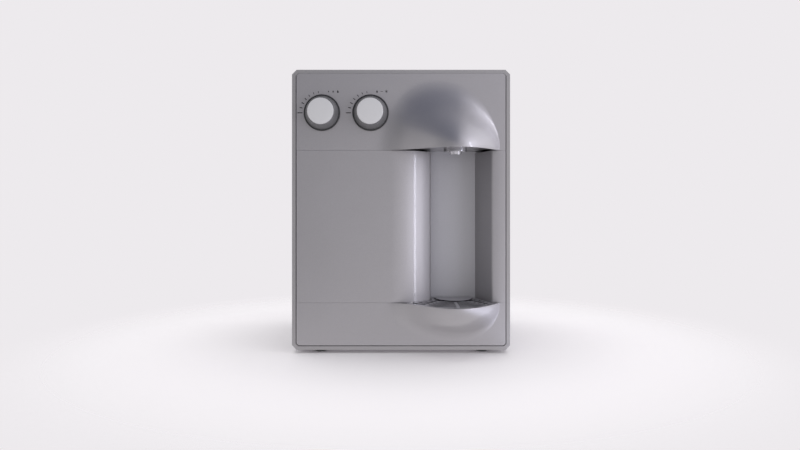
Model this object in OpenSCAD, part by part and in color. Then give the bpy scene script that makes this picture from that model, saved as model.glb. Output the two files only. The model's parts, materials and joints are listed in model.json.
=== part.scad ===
// Countertop water purifier with a compressor-cooled tank, two turning valves on the
// front and a glass niche between an overhanging hood and a drip tray.
// Units are millimetres. +X is to the right seen from the front, +Z is up and the front
// faces -Y. The origin is under the middle of the whole object, on the supporting surface.

/* [Casing] */
// Width of the sheet steel casing
casing_w = 306; // [300:1:320]
// Height of the casing without its feet
casing_h = 393; // [388:1:410]
// Depth of the casing from the front plane to the rear panel
casing_d = 270; // [268:1:290]
// Leg of the chamfer at the four long edges
corner_chamfer = 6.5; // [5:0.5:8]
// Thickness of the casing sheet
sheet = 1.2; // [0.8:0.1:1.5]
// Width of the folded rim that frames the front mouldings
rim_w = 5.2; // [4.6:0.2:6.4]
// Width of the folded flange behind the rear panel
flange_w = 10; // [9:0.5:11]
// Width of the strip by which the side sheets lap under the top and over the base
lap_w = 14; // [10:1:15]
// Height of the rubber feet
foot_h = 5; // [4:0.5:8]
// Radius of the rubber feet
foot_r = 9; // [7:0.5:12]

/* [Front mouldings] */
// Wall of the plastic front mouldings
moulding_wall = 2.6; // [2.2:0.1:3]
// How far the mouldings stand in front of the casing rim
panel_proud = 1; // [0.6:0.1:1.6]
// Gap between the mouldings and the casing rim
panel_gap = 1; // [0.6:0.1:1.4]
// Gap between one moulding and the next
split_gap = 0.3; // [0.2:0.1:0.6]
// Depth of the return walls round the mouldings
return_depth = 13; // [8:1:16]
// Height of the lower edge of the hood above the supporting surface
hood_edge_z = 285; // [280:1:290]
// Height of the lip of the drip tray above the supporting surface
tray_lip_z = 71; // [68:1:76]
// How far the hood and the tray stand out in front of the front plane
hood_reach = 58; // [50:1:64]
// Height over which the hood fades into the front plane on its right
hood_rise_right = 74; // [66:1:76]
// Height over which the hood would fade on its far left
hood_rise_left = 126; // [116:1:128]
// Height over which the tray bulge fades into the front plane
tray_drop = 57; // [50:1:58]
// Width of both bulges to the right of the spout
hood_right_w = 63; // [61:0.5:65]
// How far the soft left foot of the hood reaches under the selector knob
hood_tuck = 23.2; // [18:0.2:24]
// How far the soft left foot of the tray bulge reaches past the start of the roll
tray_spread = 8.4; // [6:0.2:11]
// Exponent of the bulges at their crisp right foot
hood_crisp = 1.15; // [1:0.05:1.5]
// Exponent of the hood at its soft foot
hood_soft = 3.2; // [2.8:0.1:4]
// Exponent of the tray bulge at its soft foot
tray_soft = 2.6; // [2.2:0.1:3]

/* [Niche] */
// Place of the spout in from the right edge of the front mouldings
spout_in = 71.2; // [69:0.2:74]
// How far to the left of the spout the middle panel starts to roll into the niche
roll_in = 89.6; // [86:0.2:93]
// Radius of the roll
roll_r = 74; // [66:1:80]
// Angle at which the roll ends and its tight edge starts
roll_ease = 25; // [22:1:28]
// Radius of the tight edge
roll_edge_r = 4; // [3.4:0.2:5]
// Angle at which the tight edge ends
roll_turn = 44; // [40:1:50]
// Straight step from the tight edge to the left wall of the niche
wall_step = 0.2; // [0.1:0.1:0.6]
// Angle at which the left wall starts
wall_start = 32; // [28:1:34]
// Radius of the gently swelling left wall
niche_wall_r = 124; // [112:1:130]
// Angle through which the left wall turns on to its nose
niche_wall_turn = 13; // [11:1:14]
// Radius of the nose by which the left wall turns straight back
wall_nose_r = 10; // [8:0.5:12]
// Depth of the niche behind the front plane
niche_depth = 57; // [54:1:60]
// Width of the flat front of the right pillar
pillar_w = 14.8; // [13:0.1:17]
// Radius of the rounded edge of the pillar
pillar_edge_r = 5; // [4:0.5:7]
// Lean of the right wall of the niche from straight back
pillar_lean = 18; // [14:1:22]
// Radius of the gently bulging plate at the back of the niche
back_bulge_r = 75; // [65:5:120]

/* [Drip tray] */
// Thickness of the drip grille
grille_t = 3; // [2.4:0.2:4]
// Thickness of the rim of the drip basin
basin_rim_t = 2; // [1.6:0.2:3]
// Depth of the drip basin under its rim
basin_depth = 20; // [14:1:24]
// Wall of the drip basin
basin_wall = 1.8; // [1.4:0.2:2.4]
// Width of the curved slots in the grille
slot_w = 5.5; // [4:0.5:6.5]
// Distance from one curved slot to the next
slot_pitch = 11; // [10:0.5:13]
// Width of the spokes that join the bars of the grille
spoke_w = 4; // [3:0.5:6]

/* [Knobs and valves] */
// Place of the flow knob in from the left edge of the front mouldings
flow_in = 36; // [33:0.5:38]
// Distance from the flow knob to the selector knob
knob_pitch = 68.1; // [65:0.1:70]
// Height of both knobs above the supporting surface
dial_z = 337.5; // [334:0.5:342]
// Radius of the flat foot ring of a knob
knob_r = 25.5; // [23:0.5:28]
// Height of the foot ring
knob_foot_h = 1.8; // [1.4:0.2:2.4]
// Radius of the knob skirt where it leaves the foot ring
knob_skirt_r = 23.4; // [22:0.2:24.5]
// Radius of the knob at its front
knob_top_r = 20.6; // [19:0.2:21.6]
// Height of the knob without its cap
knob_h = 18; // [16:0.5:21]
// Wall of the knob
knob_wall = 2.2; // [1.8:0.1:2.8]
// Radius of the valve stem
stem_r = 4; // [3:0.25:5]
// Running clearance round the stem
stem_gap = 0.05; // [0.03:0.01:0.08]
// Radius of the valve body
valve_r = 14; // [13:0.5:16]
// Length of the valve body behind the panel
valve_l = 35; // [30:1:40]
// Radius of the threaded valve neck
neck_r = 8; // [7:0.25:9]

/* [Water path] */
// Radius of the plastic water tubes
tube_r = 3.2; // [2.5:0.1:3.5]
// Outer radius of a push-in port
port_r = 5; // [4.5:0.1:5.5]
// Depth that a tube is pushed into its port
push_in = 6; // [4:0.5:8]
// Radius of the spout boss under the hood
spout_r = 16; // [14:0.5:18]
// Height of the spout boss
spout_h = 6; // [4:0.5:8]
// Radius of the nozzle under the boss
nozzle_r = 9; // [7:0.5:10]
// Height of the nozzle that shows
nozzle_h = 3.6; // [3:0.2:6]
// Radius of the filter cartridges
cartridge_r = 29; // [26:0.5:30]
// Height of the bottom of the cartridges above the supporting surface
cartridge_z = 44; // [30:1:60]
// Height of the lower face of the filter heads above the supporting surface
head_z = 262; // [258:1:264]

/* [Cooling] */
// Side of the square insulation block round the cold tank
block_w = 130; // [124:1:134]
// Height of the insulation block with its lid
block_h = 244; // [236:1:250]
// Thickness of the insulation lid and floor
block_lid = 30; // [22:1:34]
// Radius of the cold tank
tank_r = 44; // [40:0.5:46]
// Wall of the cold tank
tank_wall = 1.5; // [1:0.1:2.5]
// Radius of the evaporator tube
coil_tube_r = 3; // [2.5:0.1:3.5]
// Turns of the evaporator tube round the tank
coil_turns = 8; // [6:1:9]
// Room on each side of the compressor shell, from the cold tank's block and from the right wall
compressor_side = 20.65; // [18.5:0.05:24.5]
// Height of the compressor shell
compressor_h = 128; // [110:1:140]
// How far the condenser stands behind the rear panel, measured to its outer wires
condenser_reach = 32; // [28:1:40]
// Passes of the condenser tube
condenser_passes = 12; // [10:2:12]
// Distance from one pass to the next
pass_pitch = 22; // [20:0.5:23]
// Radius of the condenser tube
condenser_tube_r = 2.4; // [2:0.1:3]
// Radius of the condenser wires
wire_r = 0.8; // [0.6:0.1:1]
// Condenser wires in each of the two layers
wire_count = 19; // [13:2:19]

/* [Hidden] */
$fn = 64;

// Colours
c_casing = [0.55, 0.55, 0.56];
c_silver = [0.57, 0.56, 0.59];
c_graphite = [0.25, 0.25, 0.27];
c_cap = [0.75, 0.74, 0.76];
c_black = [0.08, 0.08, 0.08];
c_white = [0.9, 0.9, 0.88];
c_blue = [0.35, 0.5, 0.75];
c_brass = [0.75, 0.6, 0.3];
c_steel = [0.7, 0.7, 0.72];
c_copper = [0.72, 0.42, 0.26];

// Clearances
seat_gap = 0.2;      // between a fixed piece and the seat that holds it
shelf_gap = 0.5;     // between a shelf and the bulge that it lies in
lift_gap = 1;        // round the pieces that lift out of the niche
push_gap = 0.1;      // round a tube in its port
eps = 0.01;          // overlap of shapes that are joined

// Frame: inside the modules y is the depth behind the front plane
depth_all = hood_reach + casing_d + condenser_reach;
front_y = hood_reach - depth_all / 2;
top_z = foot_h + casing_h;
mid_z = foot_h + casing_h / 2;
pan_z = foot_h + sheet;
panel_hw = casing_w / 2 - rim_w - panel_gap;
panel_top = top_z - rim_w - panel_gap;
panel_bottom = foot_h + rim_w + panel_gap;
panel_chamfer = max(0.5, corner_chamfer - (2 - sqrt(2)) * (rim_w + panel_gap));
return_wall = 2;
rear_in = casing_d - sheet;
flat_x = casing_w / 2 - corner_chamfer;

foot_side = 31.5;
foot_x = flat_x - foot_side;
foot_in = 22;

// Places across the front
spout_x = panel_hw - spout_in;
pillar_x = panel_hw - pillar_w;
roll_x = spout_x - roll_in;
flow_x = flow_in - panel_hw;
selector_x = flow_x + knob_pitch;
hood_left_w = spout_x - selector_x - knob_r + hood_tuck;
tray_left_w = roll_in + tray_spread;

// Forms of the two bulges: width on the left, fading heights on the right and left, soft exponent
hood_form = [hood_left_w, hood_rise_right, hood_rise_left, hood_soft];
tray_form = [tray_left_w, tray_drop, tray_drop, tray_soft];

// Plan of the niche
wall_turn = wall_start + niche_wall_turn;
roll_centre = [roll_x, roll_r];
edge_centre = roll_centre + (roll_r - roll_edge_r) * facing(roll_ease);
edge_end = edge_centre + roll_edge_r * facing(roll_turn);
wall_foot = edge_end + wall_step * [cos(roll_turn), sin(roll_turn)];
niche_centre = wall_foot - niche_wall_r * facing(wall_start);
nose_centre = niche_centre + (niche_wall_r - wall_nose_r) * facing(wall_turn);
nose_x = nose_centre[0] + wall_nose_r;
back_y = niche_depth + split_gap;
pillar_start = [pillar_x - pillar_edge_r * cos(pillar_lean), pillar_edge_r * (1 - sin(pillar_lean))];
pillar_run = (niche_depth - moulding_wall * sin(pillar_lean) - pillar_start[1]) / cos(pillar_lean);
pillar_end = pillar_start + pillar_run * [-sin(pillar_lean), cos(pillar_lean)];
back_plate_t = 2.4;
back_overlap = 9;
back_middle = (nose_x + pillar_end[0]) / 2;
bulge_hw = (pillar_end[0] - nose_x) / 2 - 4;
bulge_rise = back_bulge_r - sqrt(pow(back_bulge_r, 2) - pow(bulge_hw, 2));
niche_z0 = tray_lip_z + split_gap;
niche_z1 = hood_edge_z - split_gap;

// Snap hooks of the front mouldings
hook_w = 10;
hook_hold = 1;
hook_out = panel_gap + hook_hold;
hook_flat = 0.8;
hook_l = 6;
hook_y = panel_proud + sheet + split_gap;
niche_hooks = 3;
niche_hook_z = [for (i = [0 : niche_hooks - 1]) niche_z0 + (niche_z1 - niche_z0) * (i + 0.5) / niche_hooks];
side_hook_in = 22;
end_hook_x = [for (i = [-1 : 1]) i * panel_hw * 0.6];

// Levels of the hood and the tray
soffit_recess = 3;
soffit_t = 2.5;
soffit_z = hood_edge_z + soffit_recess;
deck_t = 2.5;
deck_z = tray_lip_z - grille_t - basin_rim_t;
basin_floor_drop = tray_lip_z - deck_z + basin_depth;
shelf_back = back_y + back_plate_t + 1;
shelf_start = 14;
shelf_lap = 14;
shelf_side = 6;
shelf_x0 = roll_x + shelf_start;
shelf_x1 = panel_hw - return_wall - 1;

// Well of the drip basin
well_side = 1;
well_left = spout_x - nose_x - well_side;
well_right = 42;
well_front_gap = 3;
well_back_gap = 12;
well_cut = 18;
well_cut_left = 12;

// Knobs
panel_clear = 0.6;
cap_t = 3.6;
cap_seat = 1.5;
hub_r = 7;
hub_h = 6.5;
neck_out = 6;
nut_h = 5;
nut_r = 13;
seal_r = 0.95;
seal_depth = 7;
stem_inside = 24;
port_l = 12;
port_depth = 24;
bore_r = 2;
valve_back = moulding_wall + valve_l;

// Filters
filter_depth = 60;
filter_in = 41.5;
filter_pitch = 67;
filter_x = [filter_in - flat_x, filter_in - flat_x + filter_pitch];
collar_h = 12;
collar_out = 1.5;
head_r = 24;
head_h = 28;
head_neck_r = 15;
head_neck_h = 10;
head_port_x = 12;
head_port_h = 14;
bracket_t = 1.5;
bracket_y = filter_depth + cartridge_r + collar_out + 2.5;
bracket_foot = 15;
bracket_x0 = -(flat_x - lap_w) + 1;
bracket_side = 41;
bracket_x1 = filter_x[1] + bracket_side;
head_top = head_z + head_h;

// Cold tank
block_x = -(flat_x - lap_w) + 1 + block_w / 2;
block_y = bracket_y + bracket_t + bracket_foot + 2 + block_w / 2;
block_top = pan_z + block_h;
shell_top = block_top - block_lid;
block_right = block_x + block_w / 2;
tank_floor = 22;
tank_z0 = pan_z + tank_floor;
tank_lid_t = 3;
tank_lid_over = 2;
tank_top = shell_top - tank_lid_t;
tank_port_x = 12;
tank_port_rise = 12;
tank_port_top = block_top + tank_port_rise;
foam_gap = 4;
cavity_r = tank_r + 2 * coil_tube_r + foam_gap;
coil_r = tank_r + 0.5 + coil_tube_r;
coil_low = 22;
coil_high = 26;
coil_out = 4;
coil_z0 = tank_z0 + coil_low;
coil_z1 = tank_top - coil_high;
coil_tail = block_w / 2 + coil_out;

// Compressor
compressor_behind = 92;
compressor_room = casing_w / 2 - sheet - block_right;
compressor_x = block_right + compressor_room / 2;
compressor_r = compressor_room / 2 - compressor_side;
compressor_y = casing_d - compressor_behind;
grommet_r = 9;
grommet_h = 18;
grommet_side = 1.5;
grommet_dx = flat_x - lap_w - grommet_side - grommet_r - compressor_x;
grommet_dy = 48;
plate_t = 3;
plate_lift = 12;
plate_z = pan_z + plate_lift;
plate_margin = 12;
shell_z = plate_z + plate_t;
bolt_r = 3;
weld_out = 4;
weld_r = compressor_r + weld_out;
stub_r = 4.5;
stub_l = 14;
line_r = 3;
suction_drop = 40;
suction_z = shell_z + compressor_h - suction_drop;
discharge_dx = 28;
discharge_rise = 39;
discharge_z = shell_z + discharge_rise;
terminal_w = 40;
terminal_h = 44;
terminal_out = 14;
terminal_rise = 14;

// Condenser
wire_gap = 0.1;
condenser_y = casing_d + condenser_reach - 2 * wire_r - wire_gap - condenser_tube_r;
condenser_side = 27.5;
condenser_half = flat_x - condenser_side;
condenser_z0 = 110;
condenser_z1 = condenser_z0 + (condenser_passes - 1) * pass_pitch;
bend_r = pass_pitch / 2;
end_bend_r = 11;
end_x = condenser_half + end_bend_r;
end_inside = 8;
end_y = rear_in - end_inside;
wire_side = 6.5;
wire_pitch = 2 * (condenser_half - wire_side) / (wire_count - 1);
wire_over = 6;
standoff_r = 4.2;
standoff_x = condenser_half - 0.5;
pass_hole_r = 4;

// Rear fittings
rear_side = 26.5;
inlet_x = rear_side - flat_x;
rear_z = 45;
gland_x = flat_x - rear_side;
inlet_r = 8;
inlet_collar_r = 11;
inlet_out = 20;
inlet_bore = 18;
inlet_nut_t = 6.5;
inlet_elbow_y = rear_in - 16;
inlet_elbow_top = rear_z + 19;
gland_r = 7;
gland_bore_r = 3.5;
gland_flange_r = 10;
screw_r = 1.7;
screw_head_r = 3.5;
screw_head_h = 2.2;
screw_l = 7;
screw_side_z = [60, 200, 340];
screw_end_in = 66.5;
screw_end_x = flat_x - screw_end_in;
screw_in = flange_w / 2 + 0.5;

// Filter drier
drier_r = 8;
drier_x = end_x;
drier_behind = 24;
drier_y = casing_d - drier_behind;
drier_z0 = 40;
drier_z1 = 88;
capillary_r = 1.2;

// Drip grille pattern
grille_centre = [back_middle, back_y - 4];
grille_r0 = 24;
grille_rings = 9;
grille_margin = 5;
grille_start = 22;
grille_x0 = roll_x + grille_start;

// Routes of the copper lines and the bush of the mains lead
discharge_in = 23;
liquid_in = 18;
liquid_z = 24;
liquid_side = 4;
suction_off = 6;
suction_bend = 12;
gland_flange_t = 4;
gland_hold = 7;
gland_barb = 2;

// Grid of the bulges
left_steps = 14;
right_steps = 14;
rise_steps = 11;
lip_row = 2.5;
lip_rows = 3;
rim_row = 0.5;

/* Functions */

// How far a bulge of a form stands out at x, at a distance rise from its edge
function bulge(x, rise, form) =
    let (side = x - spout_x,
         turn = (1 - cos(atan2(rise, side))) / 2,
         u = side / (side > 0 ? hood_right_w : form[0]),
         v = rise / (form[1] + (form[2] - form[1]) * turn),
         rr = u * u + v * v,
         softness = side > 0 ? v * v / rr : 1)
    rr >= 1 ? 0 : hood_reach * pow(1 - rr, hood_crisp + (form[3] - hood_crisp) * softness);

// Depth of the inner face of the tray bulge at x under the basin rim, with a clearance
function lip_inside(x, gap) = moulding_wall + gap - bulge(x, tray_lip_z - deck_z, tray_form);

// Unit vector in x and depth at an angle from straight forward to the right
function facing(a) = [sin(a), -cos(a)];

// Points on an arc between two angles of facing, without its first point
function arc_points(centre, r, a0, a1, n) = [for (i = [1 : n]) centre + r * facing(a0 + (a1 - a0) * i / n)];

// Front of the left side of the niche at x: roll, tight edge, wall and nose, kept clear by gap
function arc_y(centre, r, x) = centre[1] - sqrt(max(0, pow(r, 2) - pow(x - centre[0], 2)));
function left_wall_y(x, gap = 0) =
    let (edge_r = roll_edge_r + gap, nose_r = wall_nose_r + gap,
         wall_y = arc_y(niche_centre, niche_wall_r + gap, x))
    x <= edge_centre[0] + edge_r * sin(roll_ease) ? arc_y(roll_centre, roll_r + gap, x)
    : x <= edge_centre[0] + edge_r ? min(wall_y, arc_y(edge_centre, edge_r, x))
    : x <= nose_centre[0] + nose_r * sin(wall_turn) ? wall_y : arc_y(nose_centre, nose_r, x);

// Front of the plate at the back of the niche at x, kept clear by gap
function back_plate_y(x, gap) =
    min(back_y - gap, arc_y([back_middle, back_y - bulge_rise + back_bulge_r], back_bulge_r + gap, x));

// Place of the right wall of the niche at a depth y
function right_wall_x(y) = pillar_start[0] - max(0, y - pillar_start[1]) * tan(pillar_lean);

function unit(v) = v / norm(v);

// A path with its corners rounded by parabolas that start r before each corner
function rounded(pts, r, n = 5) = concat(
    [pts[0]],
    [for (i = [1 : len(pts) - 2])
        let (a = pts[i] + r * unit(pts[i - 1] - pts[i]),
             b = pts[i] + r * unit(pts[i + 1] - pts[i]))
        for (k = [0 : n])
            let (t = k / n) (1 - t) * (1 - t) * a + 2 * t * (1 - t) * pts[i] + t * t * b],
    [pts[len(pts) - 1]]);

// Directions along a path, and normals carried along it without twist
function tangents(pts) = [for (i = [0 : len(pts) - 1])
    unit(pts[min(i + 1, len(pts) - 1)] - pts[max(i - 1, 0)])];
function carried(ts, n, i = 0) = i >= len(ts) ? []
    : let (m = unit(n - (n * ts[i]) * ts[i])) concat([m], carried(ts, m, i + 1));

/* Shared shapes */

module in_frame() translate([0, front_y, 0]) children();

// A shape drawn in x and z, extruded in depth from y0 to y1
module slab(y0, y1) translate([0, y1, 0]) rotate([90, 0, 0]) linear_extrude(y1 - y0) children();

// A cylinder along the depth from y0 to y1
module rod(x, z, r, y0, y1) translate([x, y0, z]) rotate([-90, 0, 0]) cylinder(r = r, h = y1 - y0);

// A block between two corners
module block(a, b) translate(a) cube(b - a);

// The outline of the casing seen from the front, drawn in by inset
module casing_outline(inset = 0) {
    hw = casing_w / 2 - inset;
    z0 = foot_h + inset;
    z1 = top_z - inset;
    c = max(0.2, corner_chamfer - (2 - sqrt(2)) * inset);
    polygon([[c - hw, z0], [hw - c, z0], [hw, z0 + c], [hw, z1 - c],
             [hw - c, z1], [c - hw, z1], [-hw, z1 - c], [-hw, z0 + c]]);
}

module casing_ring(a, b) difference() {
    casing_outline(a);
    casing_outline(b);
}

// A round tube along a path
module tube(path, r, sides = 8) {
    ts = tangents(path);
    start = abs(ts[0][2]) < 0.9 ? [0, 0, 1] : [1, 0, 0];
    ns = carried(ts, start);
    n = len(path);
    points = [for (i = [0 : n - 1]) for (k = [0 : sides - 1])
        path[i] + r * (cos(360 * k / sides) * ns[i] + sin(360 * k / sides) * cross(ts[i], ns[i]))];
    walls = [for (i = [0 : n - 2]) for (k = [0 : sides - 1])
        let (a = i * sides + k, b = i * sides + (k + 1) % sides)
        each [[a, a + sides, b + sides], [a, b + sides, b]]];
    ends = [[for (k = [0 : sides - 1]) k], [for (k = [0 : sides - 1]) n * sides - 1 - k]];
    polyhedron(points, concat(walls, ends));
}

// A bulging front skin on a grid of columns and the rows zs. The row at the edge of the bulge
// is at edge_z, and the two outer corners at corner_z are cut back by the panel chamfer.
module bulge_skin(form, zs, edge_z, corner_z) {
    xs = bulge_columns(form);
    nx = len(xs);
    nz = len(zs);
    function at(i, j) = j * nx + i;
    function grid_x(i, j) = zs[j] == corner_z && (i == 0 || i == nx - 1)
        ? xs[i] - sign(xs[i]) * panel_chamfer : xs[i];
    front = [for (j = [0 : nz - 1]) for (i = [0 : nx - 1])
        [grid_x(i, j), -bulge(xs[i], abs(zs[j] - edge_z), form), zs[j]]];
    back = [for (p = front) p + [0, moulding_wall, 0]];
    m = len(front);
    cells = [for (j = [0 : nz - 2]) for (i = [0 : nx - 2])
        [at(i, j), at(i, j + 1), at(i + 1, j + 1), at(i + 1, j)]];
    faces = concat(
        [for (c = cells) each [[c[0], c[1], c[2]], [c[0], c[2], c[3]]]],
        [for (c = cells) each [[m + c[2], m + c[1], m + c[0]], [m + c[3], m + c[2], m + c[0]]]],
        [for (i = [0 : nx - 2]) each [
            [at(i, 0), at(i + 1, 0), m + at(i + 1, 0), m + at(i, 0)],
            [at(i + 1, nz - 1), at(i, nz - 1), m + at(i, nz - 1), m + at(i + 1, nz - 1)]]],
        [for (j = [0 : nz - 2]) each [
            [at(0, j + 1), at(0, j), m + at(0, j), m + at(0, j + 1)],
            [at(nx - 1, j), at(nx - 1, j + 1), m + at(nx - 1, j + 1), m + at(nx - 1, j)]]]);
    polyhedron(concat(front, back), faces);
}

function bulge_columns(form) = concat(
    [-panel_hw],
    [for (i = [0 : left_steps]) spout_x - form[0] * (1 - i / left_steps)],
    [for (i = [1 : right_steps]) spout_x + hood_right_w * sin(90 * i / right_steps)],
    [panel_hw]);

// Distances of the rows of a bulge from its edge: close together at the lip, then closing in on its foot
function bulge_rows(span) = concat(
    [for (j = [0 : lip_rows]) j * lip_row],
    [for (j = [1 : rise_steps]) lip_rows * lip_row + (span - lip_rows * lip_row) * sin(90 * j / rise_steps)]);

// The columns of a bulge between x0 and x1, with both ends
function columns_between(form, x0, x1) = concat(
    [x0], [for (x = bulge_columns(form)) if (x > x0 + 0.5 && x < x1 - 0.5) x], [x1]);

/* Casing */

// One side sheet: the wall with its chamfers, the front rim, the rear flange and the laps
module side_sheet() {
    module zone() translate([flat_x, 0]) square([corner_chamfer + 1, top_z + 1]);
    module flange_zone() {
        zone();
        translate([casing_w / 2 - flange_w, foot_h + flange_w]) square([flange_w, casing_h - 2 * flange_w]);
    }
    module lap_zone() translate([flat_x - lap_w, 0]) square([lap_w + corner_chamfer / 2, top_z + 1]);
    slab(panel_proud, casing_d) intersection() { casing_ring(0, sheet); zone(); }
    slab(panel_proud, panel_proud + sheet) intersection() { casing_ring(0, rim_w); zone(); }
    difference() {
        slab(rear_in - sheet, rear_in) intersection() { casing_ring(0, flange_w); flange_zone(); }
        for (z = screw_side_z) screw_hole([casing_w / 2 - screw_in, z]);
    }
    slab(panel_proud + sheet, rear_in - sheet)
        intersection() { casing_ring(sheet, 2 * sheet); lap_zone(); }
}

module screw_hole(p) rod(p[0], p[1], screw_r + seat_gap, rear_in - 2 * sheet, casing_d + sheet);

module left_side() color(c_casing) in_frame() mirror([1, 0, 0]) side_sheet();
module right_side() color(c_casing) in_frame() side_sheet();

// A flat sheet between the two sides, with its rim and its flange; upper is the top cover
module end_sheet(upper) {
    module zone() translate([-flat_x, upper ? mid_z : 0]) square([2 * flat_x, mid_z]);
    module flange_zone() translate([-flat_x, upper ? top_z - flange_w : foot_h]) square([2 * flat_x, flange_w]);
    slab(panel_proud, casing_d) intersection() { casing_ring(0, sheet); zone(); }
    slab(panel_proud, panel_proud + sheet) intersection() { casing_ring(0, rim_w); zone(); }
    difference() {
        slab(rear_in - sheet, rear_in) intersection() { casing_ring(0, flange_w); flange_zone(); }
        for (x = [-screw_end_x, screw_end_x])
            screw_hole([x, upper ? top_z - screw_in : foot_h + screw_in]);
    }
}

module top_cover() color(c_casing) in_frame() end_sheet(true);

function foot_places() = [for (x = [-1, 1]) for (y = [foot_in, casing_d - foot_in]) [x * foot_x, y]];
function grommet_places() = [for (x = [-1, 1]) for (y = [-1, 1])
    [compressor_x + x * grommet_dx, compressor_y + y * grommet_dy]];

module base_pan() color(c_casing) in_frame() difference() {
    end_sheet(false);
    for (p = foot_places()) translate([p[0], p[1], 0]) cylinder(r = foot_r / 3 + seat_gap, h = 2 * pan_z);
    for (p = grommet_places()) translate([p[0], p[1], 0]) cylinder(r = bolt_r + seat_gap, h = 2 * pan_z);
}

// The rear panel with its vents, the two tube passages and the holes for inlet and cord gland
module rear_panel() {
    vent_w = 4;
    vent_h = 44;
    vent_pitch = 10;
    vents = 17;
    module vent(x) {
        translate([x - vent_w / 2, rear_z - vent_h / 2]) square([vent_w, vent_h]);
        for (s = [-1, 1]) translate([x, rear_z + s * vent_h / 2]) circle(r = vent_w / 2, $fn = 24);
    }
    color(c_casing) in_frame() difference() {
        slab(rear_in, casing_d) difference() {
            casing_outline(sheet + split_gap);
            for (i = [0 : vents - 1]) vent((i - (vents - 1) / 2) * vent_pitch);
            translate([inlet_x, rear_z]) circle(r = inlet_r + seat_gap);
            translate([gland_x, rear_z]) circle(r = gland_r + seat_gap);
            for (z = [condenser_z0, condenser_z1]) translate([end_x, z]) circle(r = pass_hole_r);
            for (p = standoff_places()) translate(p) circle(r = screw_r + seat_gap, $fn = 24);
        }
        for (p = screw_places()) screw_hole(p);
    }
}

function screw_places() = concat(
    [for (s = [-1, 1]) for (z = screw_side_z) [s * (casing_w / 2 - screw_in), z]],
    [for (s = [-1, 1]) for (z = [foot_h + screw_in, top_z - screw_in]) [s * screw_end_x, z]]);

module rear_screws() color(c_steel) in_frame() for (p = screw_places()) {
    rod(p[0], p[1], screw_head_r, casing_d, casing_d + screw_head_h);
    rod(p[0], p[1], screw_r, casing_d - screw_l, casing_d + eps);
}

module feet() color(c_black) in_frame() for (p = foot_places()) translate([p[0], p[1], 0]) {
    rotate_extrude() polygon([[0, 0], [foot_r - 1.5, 0], [foot_r, 1.5], [foot_r, foot_h], [0, foot_h]]);
    cylinder(r = foot_r / 3, h = pan_z);
}

/* Front mouldings */

// A wedge on the outside of a moulding's turned-back wall, which snaps in behind the folded rim of
// the casing. The local x axis points out of the wall.
module snap_hook() translate([0, hook_y, -hook_w / 2]) linear_extrude(hook_w)
    polygon([[-1, 0], [hook_out, 0], [hook_out, hook_flat], [0, hook_l], [-1, hook_l]]);

module side_hooks(z) for (s = [0, 1]) mirror([s, 0, 0]) translate([panel_hw - 0.1, 0, z]) snap_hook();

// The upper front with the hood and the two valve holes
module upper_fascia() {
    zs = concat(
        [for (r = bulge_rows(panel_top - panel_chamfer - rim_row - hood_edge_z)) hood_edge_z + r],
        [panel_top - panel_chamfer, panel_top]);
    y0 = moulding_wall - 0.5;
    color(c_silver) in_frame() difference() {
        union() {
            bulge_skin(hood_form, zs, hood_edge_z, panel_top);
            for (s = [0, 1]) mirror([s, 0, 0])
                block([panel_hw - return_wall, y0, hood_edge_z + split_gap],
                      [panel_hw - 0.1, return_depth, panel_top - panel_chamfer]);
            block([panel_chamfer - panel_hw, y0, panel_top - return_wall],
                  [panel_hw - panel_chamfer, return_depth, panel_top - 0.1]);
            for (x = end_hook_x) translate([x, 0, panel_top - 0.1]) rotate([0, -90, 0]) snap_hook();
            side_hooks(hood_edge_z + side_hook_in);
            side_hooks(panel_top - side_hook_in);
        }
        for (x = [flow_x, selector_x]) rod(x, dial_z, neck_r + seat_gap, -1, moulding_wall + 1);
    }
}

// The lower front, which bulges round the drip tray
module lower_fascia() {
    rows = bulge_rows(min(tray_drop, tray_lip_z - panel_bottom - panel_chamfer - rim_row));
    zs = concat(
        [panel_bottom, panel_bottom + panel_chamfer],
        [for (j = [len(rows) - 1 : -1 : 0]) tray_lip_z - rows[j]]);
    y0 = moulding_wall - 0.5;
    color(c_silver) in_frame() {
        bulge_skin(tray_form, zs, tray_lip_z, panel_bottom);
        for (s = [0, 1]) mirror([s, 0, 0])
            block([panel_hw - return_wall, y0, panel_bottom + panel_chamfer],
                  [panel_hw - 0.1, return_depth, tray_lip_z - split_gap]);
        block([panel_chamfer - panel_hw, y0, panel_bottom + 0.1],
              [panel_hw - panel_chamfer, return_depth, panel_bottom + return_wall]);
        for (x = end_hook_x) translate([x, 0, panel_bottom + 0.1]) rotate([0, 90, 0]) snap_hook();
        side_hooks((panel_bottom + tray_lip_z) / 2);
    }
}

// The flat middle of the front, which rolls over a tight edge into the left wall of the niche
module middle_panel() {
    function plan(inset) = concat(
        [[roll_x, inset]],
        arc_points(roll_centre, roll_r - inset, 0, roll_ease, 12),
        arc_points(edge_centre, roll_edge_r - inset, roll_ease, roll_turn, 6),
        [niche_centre + (niche_wall_r - inset) * facing(wall_start)],
        arc_points(niche_centre, niche_wall_r - inset, wall_start, wall_turn, 8),
        arc_points(nose_centre, wall_nose_r - inset, wall_turn, 90, 6),
        [[nose_x - inset, niche_depth]]);
    inside = plan(moulding_wall);
    color(c_silver) in_frame() {
        translate([0, 0, niche_z0]) linear_extrude(niche_z1 - niche_z0) polygon(concat(
            [[-panel_hw, return_depth], [-panel_hw, 0]],
            plan(0),
            [for (i = [len(inside) - 1 : -1 : 0]) inside[i]],
            [[return_wall - panel_hw, moulding_wall], [return_wall - panel_hw, return_depth]]));
        for (z = niche_hook_z) mirror([1, 0, 0]) translate([panel_hw, 0, z]) snap_hook();
    }
}

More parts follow.
